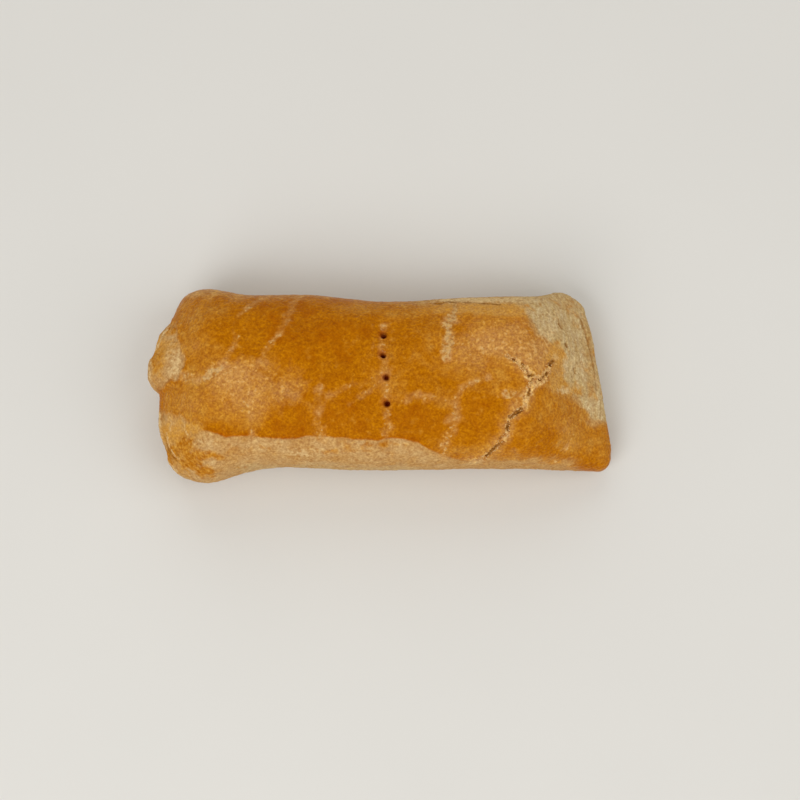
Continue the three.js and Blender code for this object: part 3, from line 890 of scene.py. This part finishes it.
def wash_fields(skin, fields):
    """Where the wash stops: millimetres over the softness of its edge, positive on bare dough.

    The tongue's field goes into the crisp edge, so it isn't kept.
    """
    u, v = skin.plan.T
    x, y, z = skin.points.T
    edge = along_line(u, FRONT_WASH_EDGE)
    front = np.minimum(edge - v, FRONT_EDGE_STOP - u) / along_line(u, FRONT_EDGE_SOFTNESS)
    fields["bare_crisp"] = np.maximum(front, fields.pop("tongue"))
    right = distance_inside(skin.plan, BARE_RIGHT_END) / along_line(v, RIGHT_EDGE_SOFTNESS)
    strip = distance_inside(skin.plan, THIN_FRONT_STRIP) / STRIP_SOFTNESS - STRIP_THINNESS
    facing = np.maximum(np.maximum(right, strip), FULLY_WASHED)
    low = np.where(y > 0, along_line(x, BACK_WASH_HEIGHTS), along_line(x, FRONT_LOW_HEIGHTS))
    on_end = BARE_END_SHARPNESS * (np.abs(skin.normals[:, 0]) - BARE_END_FACING)
    unseen = np.maximum((low - z) / LOW_EDGE_SOFTNESS, on_end + rippled(skin, BARE_END_WAVER))
    fields["bare_soft"] = skin.seen * facing + (1 - skin.seen) * unseen
    dull_end = smooth_step(right, *DULL_END_EDGE) * smooth_step(x, *DULL_END_PLACE)
    dull_front = DULL_FRONT * smooth_step(edge - v, *DULL_FRONT_BELOW) * smooth_step(u, *DULL_FRONT_PLACE)
    fields["dull"] = np.maximum(dull_end, dull_front * smooth_step(-y, *DULL_FRONT_DEPTH))
    pool = np.minimum(sum(raised(u, swell) for swell in POOLS), 1) * skin.seen
    pool = pool * smooth_step(v - edge, *POOL_EDGE) * np.exp(-np.maximum(v - edge, 0) / POOL_RUN)
    fields["pool"] = pool
    film = 1 - smooth_step(np.maximum(fields["bare_crisp"], fields["bare_soft"]), *FILM_EDGE)
    return FILM_HEIGHT * film + POOL_HEIGHT * pool


def spread(plan, spots):
    """Sum of soft spots on the plan."""
    total = np.zeros(len(plan))
    for spot in spots:
        total += spot.by * np.exp(-(((plan - spot.place) / spot.reach) ** 2).sum(1))
    return total


# Along the back the colour goes tan: from the plan's upper band on, and lower down where the back isn't seen.
BACK_TAN = 0.6
BACK_BAND = (21.5, 27.0)
BACK_HEIGHTS = (27, 13)
BACK_WAVER = Ripple(3, 6, 2)
BASE_HEIGHTS = (0.3, 2.2)


def tint_fields(skin, fields):
    """Wash tones, painted sheen, browned, golden and pale spots, painted shade, the back and browned base."""
    fields["tone"] = spread(skin.plan, WASH_TONES)
    for name, spots in (
            ("bloom_and_sheen", BLOOM_AND_SHEEN_SPOTS), ("brown", BROWN_SPOTS), ("edge_shade", EDGE_SHADE_SPOTS), ("golden", GOLDEN_SPOTS),
            ("pale_and_lit", PALE_SPOTS)):
        fields[name] = np.minimum(spread(skin.plan, spots), 1) * skin.seen
    below = smooth_step(skin.points[:, 2] + rippled(skin, BACK_WAVER), *BACK_HEIGHTS)
    band = smooth_step(skin.plan[:, 1], *BACK_BAND)
    fields["back"] = BACK_TAN * np.maximum(band * skin.seen, below * (1 - skin.seen))
    fields["browned_base"] = 1 - smooth_step(skin.points[:, 2], *BASE_HEIGHTS)


# The crust's own texture. Flakes are drawn out along the sides, and across the roll on its right end.
SOFT_LUMPS = Ripple(1, 12, 3)
FINE_GRAIN = [Ripple(1, 1.6), Ripple(0.7, 0.7)]
BARE_EDGE = (-0.5, 0.5)
SIDE_FLAKES = Ripple(0.14, 1.1, 2, (5, 1, 1))
END_FLAKES = Ripple(0.18, 1.1, 2, (1, 4, 1))
END_FLAKES_FROM = (44, 52)
DOUGH_PITS = Ripple(1, 1.3)
DOUGH_PIT_EDGE = (0.25, 0.55)
DOUGH_PIT_DEPTH = 0.25
# Painted shade in the pits of bare dough.
DOUGH_PIT_SHADE = 1.2
BLISTERS = Ripple(0.08, 1.3)
BARE_BLISTERS = 0.6


def grain_relief(skin, fields, lump_height, grain_height):
    """Soft lumps, fine grain, blisters on the painted sheen, and the flakes and pits of bare dough."""
    bare = smooth_step(np.maximum(fields["bare_crisp"], fields["bare_soft"]), *BARE_EDGE)
    on_right = smooth_step(skin.points[:, 0], *END_FLAKES_FROM)
    lumps = lump_height * rippled(skin, SOFT_LUMPS)
    grain = grain_height * rippled(skin, *FINE_GRAIN)
    flakes = (1 - on_right) * rippled(skin, SIDE_FLAKES) + on_right * rippled(skin, END_FLAKES)
    pits = DOUGH_PIT_DEPTH * bare * smooth_step(rippled(skin, DOUGH_PITS), *DOUGH_PIT_EDGE)
    at_least(fields, "hollow_shade", DOUGH_PIT_SHADE * pits)
    blisters = np.maximum(fields["bloom_and_sheen"], BARE_BLISTERS * bare) * crumbly(skin, BLISTERS)
    return lumps + grain + blisters + bare * flakes - pits


# Relief fades in over these heights, so that the roll's foot stays flat.
FOOT_HEIGHTS = (0, 1.5)


def crust_relief(skin, settings):
    """Relief of the crust along its normals, and the fields that its material reads."""
    fields = {"hollow_shade": np.zeros(len(skin.points))}
    relief = tongue_relief(skin, fields)
    relief += wash_fields(skin, fields)
    tint_fields(skin, fields)
    relief += prick_relief(skin, fields, settings.prick_depth / MM)
    relief += crack_relief(skin, fields, settings.crack_depth / MM)
    relief += split_relief(skin, fields)
    relief += fold_relief(skin, fields)
    relief += layer_relief(skin, fields)
    relief += grain_relief(skin, fields, settings.lump_height / MM, settings.grain_height / MM)
    return relief * smooth_step(skin.points[:, 2], *FOOT_HEIGHTS), fields


def bake_layout(mesh, cube):
    """Lays the six sides of the cube side by side in the UV map meant for baking the material."""
    loops = np.empty(len(mesh.loops), int)
    mesh.loops.foreach_get("vertex_index", loops)
    sizes = np.empty(len(mesh.polygons), int)
    mesh.polygons.foreach_get("loop_total", sizes)
    middle = np.add.reduceat(cube[loops], np.r_[0, np.cumsum(sizes)[:-1]]) / sizes[:, None]
    side_axis = np.repeat(np.abs(middle).argmax(1), sizes)
    side_sign = np.repeat(middle[np.arange(len(middle)), np.abs(middle).argmax(1)] > 0, sizes)
    a, b, c = (cube[loops].T + 1) / 2
    uv = np.zeros((len(loops), 2))
    for (axis, positive), name, across, up in (
            ((2, True), "top", a, b), ((1, False), "front", a, c), ((1, True), "back", a, c),
            ((0, False), "left", b, c), ((0, True), "right", b, c), ((2, False), "base", a, b)):
        on_side = (side_axis == axis) & (side_sign == positive)
        patch = BAKE_PATCHES[name]
        uv[on_side, 0] = patch.left + patch.width * across[on_side]
        uv[on_side, 1] = patch.low + patch.height * up[on_side]
    mesh.uv_layers.new(name="OFBake").uv.foreach_set("vector", uv.astype(np.float32).ravel())


def add_node(tree, kind, links=None, **settings):
    """Adds a node with its settings; links gives each input socket a value or another node's output."""
    made = tree.nodes.new(kind)
    for name, value in settings.items():
        setattr(made, name, value)
    for socket, value in (links or {}).items():
        if isinstance(value, bpy.types.NodeSocket):
            tree.links.new(value, made.inputs[socket])
        else:
            made.inputs[socket].default_value = value
    return made


def opaque(colour):
    return (*colour, 1)


def new_material(name):
    """A material with an empty node tree, and the socket that gives places on its object."""
    material = bpy.data.materials.new(name)
    material.use_nodes = True
    tree = material.node_tree
    tree.nodes.clear()
    return material, tree, add_node(tree, "ShaderNodeTexCoord").outputs["Object"]


def computed(tree, operation, *values):
    """The result of a sum, product or the like of some values."""
    return add_node(tree, "ShaderNodeMath", dict(enumerate(values)), operation=operation).outputs[0]


def mixed(tree, share, first, second, **settings):
    """A mix of two colours, which are the node's inputs 6 and 7."""
    links = {0: share, 6: first, 7: second}
    return add_node(tree, "ShaderNodeMix", links, data_type="RGBA", **settings).outputs[2]


def grainy(tree, place, size):
    """Noise of a size in millimetres."""
    return add_node(tree, "ShaderNodeTexNoise", {"Vector": place, "Scale": 1 / (size * MM)}).outputs["Fac"]


def bumped(tree, height, distance, strength):
    """Normals of a bump of a distance in millimetres."""
    links = {"Height": height, "Distance": distance * MM, "Strength": strength}
    return add_node(tree, "ShaderNodeBump", links).outputs[0]


def give_surface(tree, links):
    """Ends a material's tree with its surface."""
    shader = add_node(tree, "ShaderNodeBsdfPrincipled", links)
    add_node(tree, "ShaderNodeOutputMaterial", {"Surface": shader.outputs[0]})


# Shortcrust baked under egg wash. The wash browns to a smooth, satin gold that varies over centimetres,
# with a painted sheen and painted glints. Bare dough stays pale, floury and matt, with a sandy grain
# of about 0.6 mm.
# Grains: size in millimetres, detail, and stretch along the axes.
# Masks: field, grain that ruffles its edge, by how much, and where it fades in.
EVEN = (1, 1, 1)
CRUST_GRAINS = {
    "patch": Grain(5, 4, EVEN),
    "mottle": Grain(2.6, 3, EVEN),
    "crumb": Grain(1.1, 2, EVEN),
    "speckle": Grain(0.6, 1, EVEN),
    "streak": Grain(1.2, 3, (1, 5, 1)),
}
GRAIN_SPAN = (0.3, 0.7)
CRUST_MASKS = {
    "deep": Mask("tone", "patch", 1.5, 0.0, 0.8),
    "thin": Mask("tone", "patch", 1.1, 0.0, -1.2),
    "halo": Mask("bare_soft", "patch", 1.2, -1.7, 0.1),
    # Painted sheen, laid on as bloom.
    "bloom_and_sheen": Mask("bloom_and_sheen", "mottle", 0.5, 0.14, 1.2),
    # Painted glints, where the painted sheen is strongest.
    "painted_glint": Mask("bloom_and_sheen", "crumb", 1.2, 0.75, 1.9),
    "pool": Mask("pool", "mottle", 0.4, 0.1, 1.0),
    "back": Mask("back", "mottle", 0.4, 0.18, 0.9),
    "bare_crisp": Mask("bare_crisp", "mottle", 0.5, -0.45, 0.45),
    "bare_soft": Mask("bare_soft", "patch", 3.0, -0.7, 0.8),
    "dull": Mask("dull", "mottle", 0.6, 0.1, 0.9),
    # Painted shade on rims and the foot.
    "edge_shade": Mask("edge_shade", "mottle", 0.4, 0.2, 1.1),
    "golden": Mask("golden", "mottle", 0.6, 0.27, 1.0),
    "brown": Mask("brown", "mottle", 0.9, 0.1, 1.0),
    # Pale, floury places, and painted highlights on ridges.
    "pale_and_lit": Mask("pale_and_lit", "crumb", 0.6, 0.28, 1.0),
    "rift": Mask("split", "mottle", 0.4, 0.16, 1.2),
    "split": Mask("split", "crumb", 0.7, 0.7, 1.6),
    "torn": Mask("split", "crumb", 1.2, 0.75, 1.5),
    "crumb": Mask("crumb", "crumb", 0.9, 0.45, 1.4),
    # Painted shade in the crack, folds, pits and layer lines.
    "hollow_shade": Mask("hollow_shade", "crumb", 0.2, 0.1, 0.9),
    "prick": Mask("prick", "crumb", 0.1, 0.0, 0.9),
    "browned_base": Mask("browned_base", "mottle", 0.4, 0.2, 0.9),
}
JOINED_MASKS = {
    "bare": ("bare_crisp", "bare_soft", "MAXIMUM"),
    "dull_bare": ("bare", "dull", "MULTIPLY"),
}

# Layers of colour over the wash, from the lowest up: mask, two colours, and the grain that blends them.
CRUST_LAYERS = [
    Layer("deep", "deep_wash", "wash", "mottle"),
    Layer("thin", "thin_wash", "wash", "mottle"),
    Layer("halo", "thin_wash", "tan_dough", "patch"),
    # Painted sheen, laid on as bloom.
    Layer("bloom_and_sheen", "bloom_and_sheen", "thin_wash", "crumb"),
    # Painted glints over the painted sheen.
    Layer("painted_glint", "painted_glint", "bloom_and_sheen", "speckle"),
    Layer("pool", "pool", "deep_wash", "mottle"),
    Layer("back", "tan_dough", "golden_dough", "mottle"),
    Layer("bare", "dough", "tan_dough", "patch"),
    Layer("dull_bare", "dull_dough", "floury_tan", "streak"),
    # Painted shade on rims and the foot.
    Layer("edge_shade", "floury_tan", "tan_dough", "mottle"),
    Layer("golden", "golden_dough", "thin_wash", "crumb"),
    Layer("brown", "wash", "thin_wash", "crumb"),
    # Pale, floury places, and painted highlights on ridges.
    Layer("pale_and_lit", "crumb", "dough", "crumb"),
    Layer("rift", "thin_wash", "bloom_and_sheen", "mottle"),
    Layer("split", "split", "dough", "crumb"),
    Layer("torn", "dough", "split", "speckle"),
    Layer("crumb", "crumb", "golden_dough", "crumb"),
    Layer("browned_base", "base", "tan_dough", "mottle"),
    # Painted shade in the crack, folds, pits and layer lines, over the base colour.
    Layer("hollow_shade", "hollow_shade", "base", "speckle"),
    Layer("prick", "prick", "prick", "crumb"),
]
DRY_MASKS = ("bare", "split", "crumb", "hollow_shade")
WASH_ROUGHNESS = 0.36
DOUGH_ROUGHNESS = 0.75
CRUST_IOR = 1.45
CRUST_SPECULAR = 0.07
GRAIN_BUMP = 0.14
GRAIN_BUMP_STRENGTH = 0.7

# Speckle: how much lighter than the mean its lightest grains are on the wash, and on what lies over the wash.
# It grows from red to blue, so that dark grains are deeper in colour and light ones creamier.
WASH_SPECKLE = 1.38
SPECKLES = {"deep": 1.26, "bloom_and_sheen": 1.42, "back": 1.5, "bare": 1.36, "split": 1.42, "crumb": 1.6}
SPECKLE_SHARES = {"Red": 0.95, "Green": 1.4, "Blue": 1.7}


def crust_grains(tree, place):
    """Noise of each of the crust's grains, spread to run from 0 to 1."""
    grains = {}
    for name, grain in CRUST_GRAINS.items():
        links = {0: place, 1: [1 / (grain.size * stretch * MM) for stretch in grain.stretch]}
        scaled = add_node(tree, "ShaderNodeVectorMath", links, operation="MULTIPLY").outputs[0]
        links = {"Vector": scaled, "Scale": 1, "Detail": grain.detail}
        value = add_node(tree, "ShaderNodeTexNoise", links).outputs["Fac"]
        links = {"Value": value, "From Min": GRAIN_SPAN[0], "From Max": GRAIN_SPAN[1]}
        grains[name] = add_node(tree, "ShaderNodeMapRange", links).outputs["Result"]
    return grains


def crust_masks(tree, grains):
    """Where each layer of colour shows: a field of the crust, ruffled by a grain and faded in."""
    masks = {}
    for name, mask in CRUST_MASKS.items():
        field = add_node(tree, "ShaderNodeAttribute", attribute_name=mask.field).outputs["Fac"]
        ruffled = computed(tree, "MULTIPLY_ADD", grains[mask.grain], mask.ruffle, field)
        low, high = (edge + mask.ruffle / 2 for edge in (mask.low, mask.high))
        links = {"Value": ruffled, "From Min": low, "From Max": high}
        ramp = add_node(tree, "ShaderNodeMapRange", links, interpolation_type="SMOOTHSTEP")
        masks[name] = ramp.outputs["Result"]
    for name, (first, second, operation) in JOINED_MASKS.items():
        masks[name] = computed(tree, operation, masks[first], masks[second])
    return masks


def crust_colour(tree, settings, grains, masks):
    """Wash, with the layers of colour over it."""
    colour = opaque(settings.wash)
    for layer in CRUST_LAYERS:
        main, other = (opaque(getattr(settings, name)) for name in (layer.main, layer.other))
        colour = mixed(tree, masks[layer.mask], colour, mixed(tree, grains[layer.grain], main, other))
    return colour


def speckled(tree, colour, grain, masks):
    """The colour with its speckle, which follows a grain that runs from 0 to 2."""
    contrast = WASH_SPECKLE
    for name, value in SPECKLES.items():
        # The two values of a mix without colour are the node's inputs 2 and 3.
        contrast = add_node(tree, "ShaderNodeMix", {0: masks[name], 2: contrast, 3: value}).outputs[0]
    shade = computed(tree, "SUBTRACT", grain, 1)
    channels = {}
    for name, share in SPECKLE_SHARES.items():
        channels[name] = computed(tree, "POWER", contrast, computed(tree, "MULTIPLY", shade, share))
    speckle = add_node(tree, "ShaderNodeCombineColor", channels).outputs[0]
    return mixed(tree, 1, colour, speckle, blend_type="MULTIPLY")


def washed_shortcrust(settings):
    material, tree, place = new_material("egg_washed_shortcrust")
    grains = crust_grains(tree, place)
    masks = crust_masks(tree, grains)
    fine = computed(tree, "ADD", grains["crumb"], grains["speckle"])
    colour = speckled(tree, crust_colour(tree, settings, grains, masks), fine, masks)
    dry = 0
    for name in DRY_MASKS:
        dry = computed(tree, "MAXIMUM", dry, masks[name])
    links = {"Value": dry, "To Min": WASH_ROUGHNESS, "To Max": DOUGH_ROUGHNESS}
    roughness = add_node(tree, "ShaderNodeMapRange", links).outputs["Result"]
    bump = bumped(tree, fine, GRAIN_BUMP, GRAIN_BUMP_STRENGTH)
    give_surface(tree, {
        "Base Color": colour, "Roughness": roughness, "Normal": bump, "IOR": CRUST_IOR,
        "Specular IOR Level": CRUST_SPECULAR, "Specular Tint": opaque(settings.sheen)})
    return material


# Broken shortcrust: loose grains of fat and flour, paler than the crust and quite matt.
CRUMB_GRAIN = 0.4
CRUMB_BUMP = 0.05
CRUMB_BUMP_STRENGTH = 0.5


def shortcrust_crumb(settings):
    material, tree, place = new_material("shortcrust_crumb")
    grain = grainy(tree, place, CRUMB_GRAIN)
    colour = mixed(tree, grain, opaque(settings.crumb), opaque(settings.thin_wash))
    bump = bumped(tree, grain, CRUMB_BUMP, CRUMB_BUMP_STRENGTH)
    give_surface(tree, {
        "Base Color": colour, "Roughness": DOUGH_ROUGHNESS, "Normal": bump,
        "Specular IOR Level": CRUST_SPECULAR})
    return material


# Matt painted board: an even, pale surface with a faint mottle that takes a soft shadow.
BOARD_MOTTLE = 60
BOARD_DARKENING = 0.97
BOARD_ROUGHNESS = 0.9
BOARD_SPECULAR = 0.2


def pale_board(settings):
    material, tree, place = new_material("pale_matt_board")
    darker = [BOARD_DARKENING * channel for channel in settings.floor]
    colour = mixed(tree, grainy(tree, place, BOARD_MOTTLE), opaque(settings.floor), opaque(darker))
    give_surface(tree, {
        "Base Color": colour, "Roughness": BOARD_ROUGHNESS, "Specular IOR Level": BOARD_SPECULAR})
    return material


def as_mesh(bm, name):
    """Turns a bmesh into a mesh, and frees it."""
    mesh = bpy.data.meshes.new(name)
    bm.to_mesh(mesh)
    bm.free()
    return mesh


def shown(name, data):
    """Links new data to the scene as an object."""
    made = bpy.data.objects.new(name, data)
    bpy.context.scene.collection.objects.link(made)
    return made


class FISH_ROLL_OT_crust(bpy.types.Operator):
    """Builds the washed and baked crust over the solid roll"""
    bl_idname = "fish_roll.crust"
    bl_label = "Crust"

    def execute(self, context):
        settings = context.scene.fish_roll_crust
        bm, offset = divided_skin()
        cube = places_of(bm)
        mesh = as_mesh(bm, "pastry_crust")
        skin = skin_of(mesh, bend_to_roll(cube) + offset)
        relief, fields = crust_relief(skin, settings)
        points = skin.points + skin.normals * relief[:, None]
        points[:, 2] = np.maximum(points[:, 2], 0)
        mesh.vertices.foreach_set("co", (points * MM).astype(np.float32).ravel())
        for name, values in fields.items():
            mesh.attributes.new(name, "FLOAT", "POINT").data.foreach_set("value", values.astype(np.float32))
        bake_layout(mesh, cube)
        mesh.shade_smooth()
        mesh.update()
        mesh.materials.append(washed_shortcrust(settings))
        crust = shown("pastry_crust", mesh)
        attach(crust, "root")
        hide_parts(NODE)
        return {"FINISHED"}


# Crumbs lie on the crust beside the crack, not low on its front, and farther out round the fork.
CRUMB_SEARCH = 4
CRUMB_LOWEST = 8
CRUMB_NEAREST = 0.3
CRUMB_FARTHEST = 0.7
CRUMB_FARTHER_AT_FORK = Swell(0, 5, 0.9)

# Shares of a crumb's radius: by how much it shrinks and stretches, stands above the crust and is knobbly.
CRUMB_SHRINK = (0.6, 1)
CRUMB_STRETCH = (0.7, 1.2)
CRUMB_LIFT = 0.15
CRUMB_KNOBS = Ripple(0.5, 0.6)


def add_crumb(bm, draw, radius, vertex):
    """Adds one knobbly crumb on a vertex of the crust."""
    seat = vertex.co + vertex.normal * (CRUMB_LIFT * radius)
    turn = Euler([draw.uniform(0, 2 * math.pi) for _ in range(3)]).to_matrix().to_4x4()
    shape = Matrix.Diagonal([draw.uniform(*CRUMB_STRETCH) for _ in range(3)]).to_4x4()
    made = bmesh.ops.create_icosphere(
        bm, subdivisions=2, radius=radius, matrix=Matrix.Translation(seat) @ turn @ shape)
    for corner in made["verts"]:
        knob = CRUMB_KNOBS.height * noise.noise(corner.co / (CRUMB_KNOBS.size * radius))
        corner.co += (corner.co - seat) * knob


class FISH_ROLL_OT_crumbs(bpy.types.Operator):
    """Scatters broken crumbs along the lips of the crack"""
    bl_idname = "fish_roll.crumbs"
    bl_label = "Crumbs"

    def execute(self, context):
        settings = context.scene.fish_roll_crumbs
        crust = bpy.data.objects.get("pastry_crust")
        if crust is None:
            raise RuntimeError("the crumbs lie on the crust: build the crust first")
        corners = np.array([v.co for v in crust.data.vertices]) / MM
        plan = as_seen(corners)
        near = np.min([path_distance(plan, path) for path in CRACK], axis=0) < CRUMB_SEARCH
        near = np.flatnonzero(near & (corners[:, 2] > CRUMB_LOWEST))
        tree = kdtree.KDTree(len(near))
        for index in near:
            tree.insert((*plan[index], 0), index)
        tree.balance()
        legs = [(np.array(a), np.array(b)) for path in CRACK for a, b in zip(path, path[1:])]
        lengths = [np.linalg.norm(b - a) for a, b in legs]
        draw = random.Random(settings.seed)
        bm = bmesh.new()
        for _ in range(settings.count):
            start, end = draw.choices(legs, lengths)[0]
            place = start + draw.random() * (end - start)
            farther = raised(np.linalg.norm(place - CRACK_FORK), CRUMB_FARTHER_AT_FORK)
            along = (end - start) / np.linalg.norm(end - start)
            aside = draw.choice((-1, 1)) * draw.uniform(CRUMB_NEAREST, CRUMB_FARTHEST + farther)
            place = place + aside * np.array((-along[1], along[0]))
            radius = draw.uniform(settings.smallest, settings.largest) * draw.uniform(*CRUMB_SHRINK)
            _, index, _ = tree.find((*place, 0))
            add_crumb(bm, draw, radius, crust.data.vertices[index])
        mesh = as_mesh(bm, "crack_crumbs")
        mesh.shade_smooth()
        mesh.materials.append(shortcrust_crumb(context.scene.fish_roll_crust))
        crumbs = shown("crack_crumbs", mesh)
        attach(crumbs, "root")
        return {"FINISHED"}


class FISH_ROLL_OT_stage(bpy.types.Operator):
    """Sets the pale floor, the soft lamps, the even sky and the camera"""
    bl_idname = "fish_roll.stage"
    bl_label = "Stage"

    def execute(self, context):
        settings = context.scene.fish_roll_stage
        target = Vector(CAMERA_TARGET) * MM
        bm = bmesh.new()
        bmesh.ops.create_grid(
            bm, x_segments=FLOOR_SEGMENTS, y_segments=FLOOR_SEGMENTS, size=FLOOR_HALF_WIDTH * MM)
        mesh = as_mesh(bm, "floor")
        mesh.materials.append(pale_board(settings))
        floor = shown("floor", mesh)
        floor.location.z = -FLOOR_GAP * MM
        for name, lamp in LAMPS.items():
            light = bpy.data.lights.new(name, "AREA")
            light.size = lamp.size * MM
            light.energy = lamp.power * settings.lamp_power
            held = shown(name, light)
            held.location = Vector(lamp.place) * MM
            held.rotation_euler = (target - held.location).to_track_quat("-Z", "Y").to_euler()
        world = bpy.data.worlds.new("sky")
        world.use_nodes = True
        sky = world.node_tree.nodes["Background"]
        sky.inputs["Color"].default_value = opaque(settings.sky)
        sky.inputs["Strength"].default_value = settings.sky_strength
        context.scene.world = world
        context.scene.view_settings.view_transform = "Standard"

        lens = bpy.data.cameras.new("camera")
        lens.sensor_width = SENSOR_WIDTH
        lens.lens = SENSOR_WIDTH * CAMERA_DISTANCE / PICTURE_WIDTH
        lens.clip_start = CAMERA_NEAR * MM
        camera = shown("camera", lens)
        camera.location = target + Vector(CAMERA_BACK) * CAMERA_DISTANCE * MM
        camera.rotation_euler = (math.pi / 2 - CAMERA_ELEVATION, 0, 0)
        context.scene.camera = camera
        return {"FINISHED"}


class FISH_ROLL_PT_panel(bpy.types.Panel):
    """Lists the fish roll's builders and their settings"""
    bl_idname = "FISH_ROLL_PT_panel"
    bl_label = "Fish roll"
    bl_space_type = "VIEW_3D"
    bl_region_type = "UI"
    bl_category = "Fish roll"

    def draw(self, context):
        for operator, group in BUILDERS.items():
            box = self.layout.box()
            box.operator(operator)
            settings = getattr(context.scene, group)
            for name in settings.__annotations__:
                box.prop(settings, name)


BUILDERS = {
    "fish_roll.crust": "fish_roll_crust",
    "fish_roll.crumbs": "fish_roll_crumbs",
    "fish_roll.stage": "fish_roll_stage",
}
SETTINGS = {
    "fish_roll_crust": CrustSettings,
    "fish_roll_crumbs": CrumbSettings,
    "fish_roll_stage": StageSettings,
}
CLASSES = [
    *SETTINGS.values(), FISH_ROLL_OT_crust, FISH_ROLL_OT_crumbs, FISH_ROLL_OT_stage, FISH_ROLL_PT_panel,
]


def register():
    for kind in CLASSES:
        bpy.utils.register_class(kind)
    for name, group in SETTINGS.items():
        setattr(bpy.types.Scene, name, bpy.props.PointerProperty(type=group))


def unregister():
    for name in SETTINGS:
        delattr(bpy.types.Scene, name)
    for kind in reversed(CLASSES):
        bpy.utils.unregister_class(kind)


def main():
    register()
    bpy.ops.fish_roll.crust()
    bpy.ops.fish_roll.crumbs()
    bpy.ops.fish_roll.stage()
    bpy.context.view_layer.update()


if __name__ == "__main__":
    main()
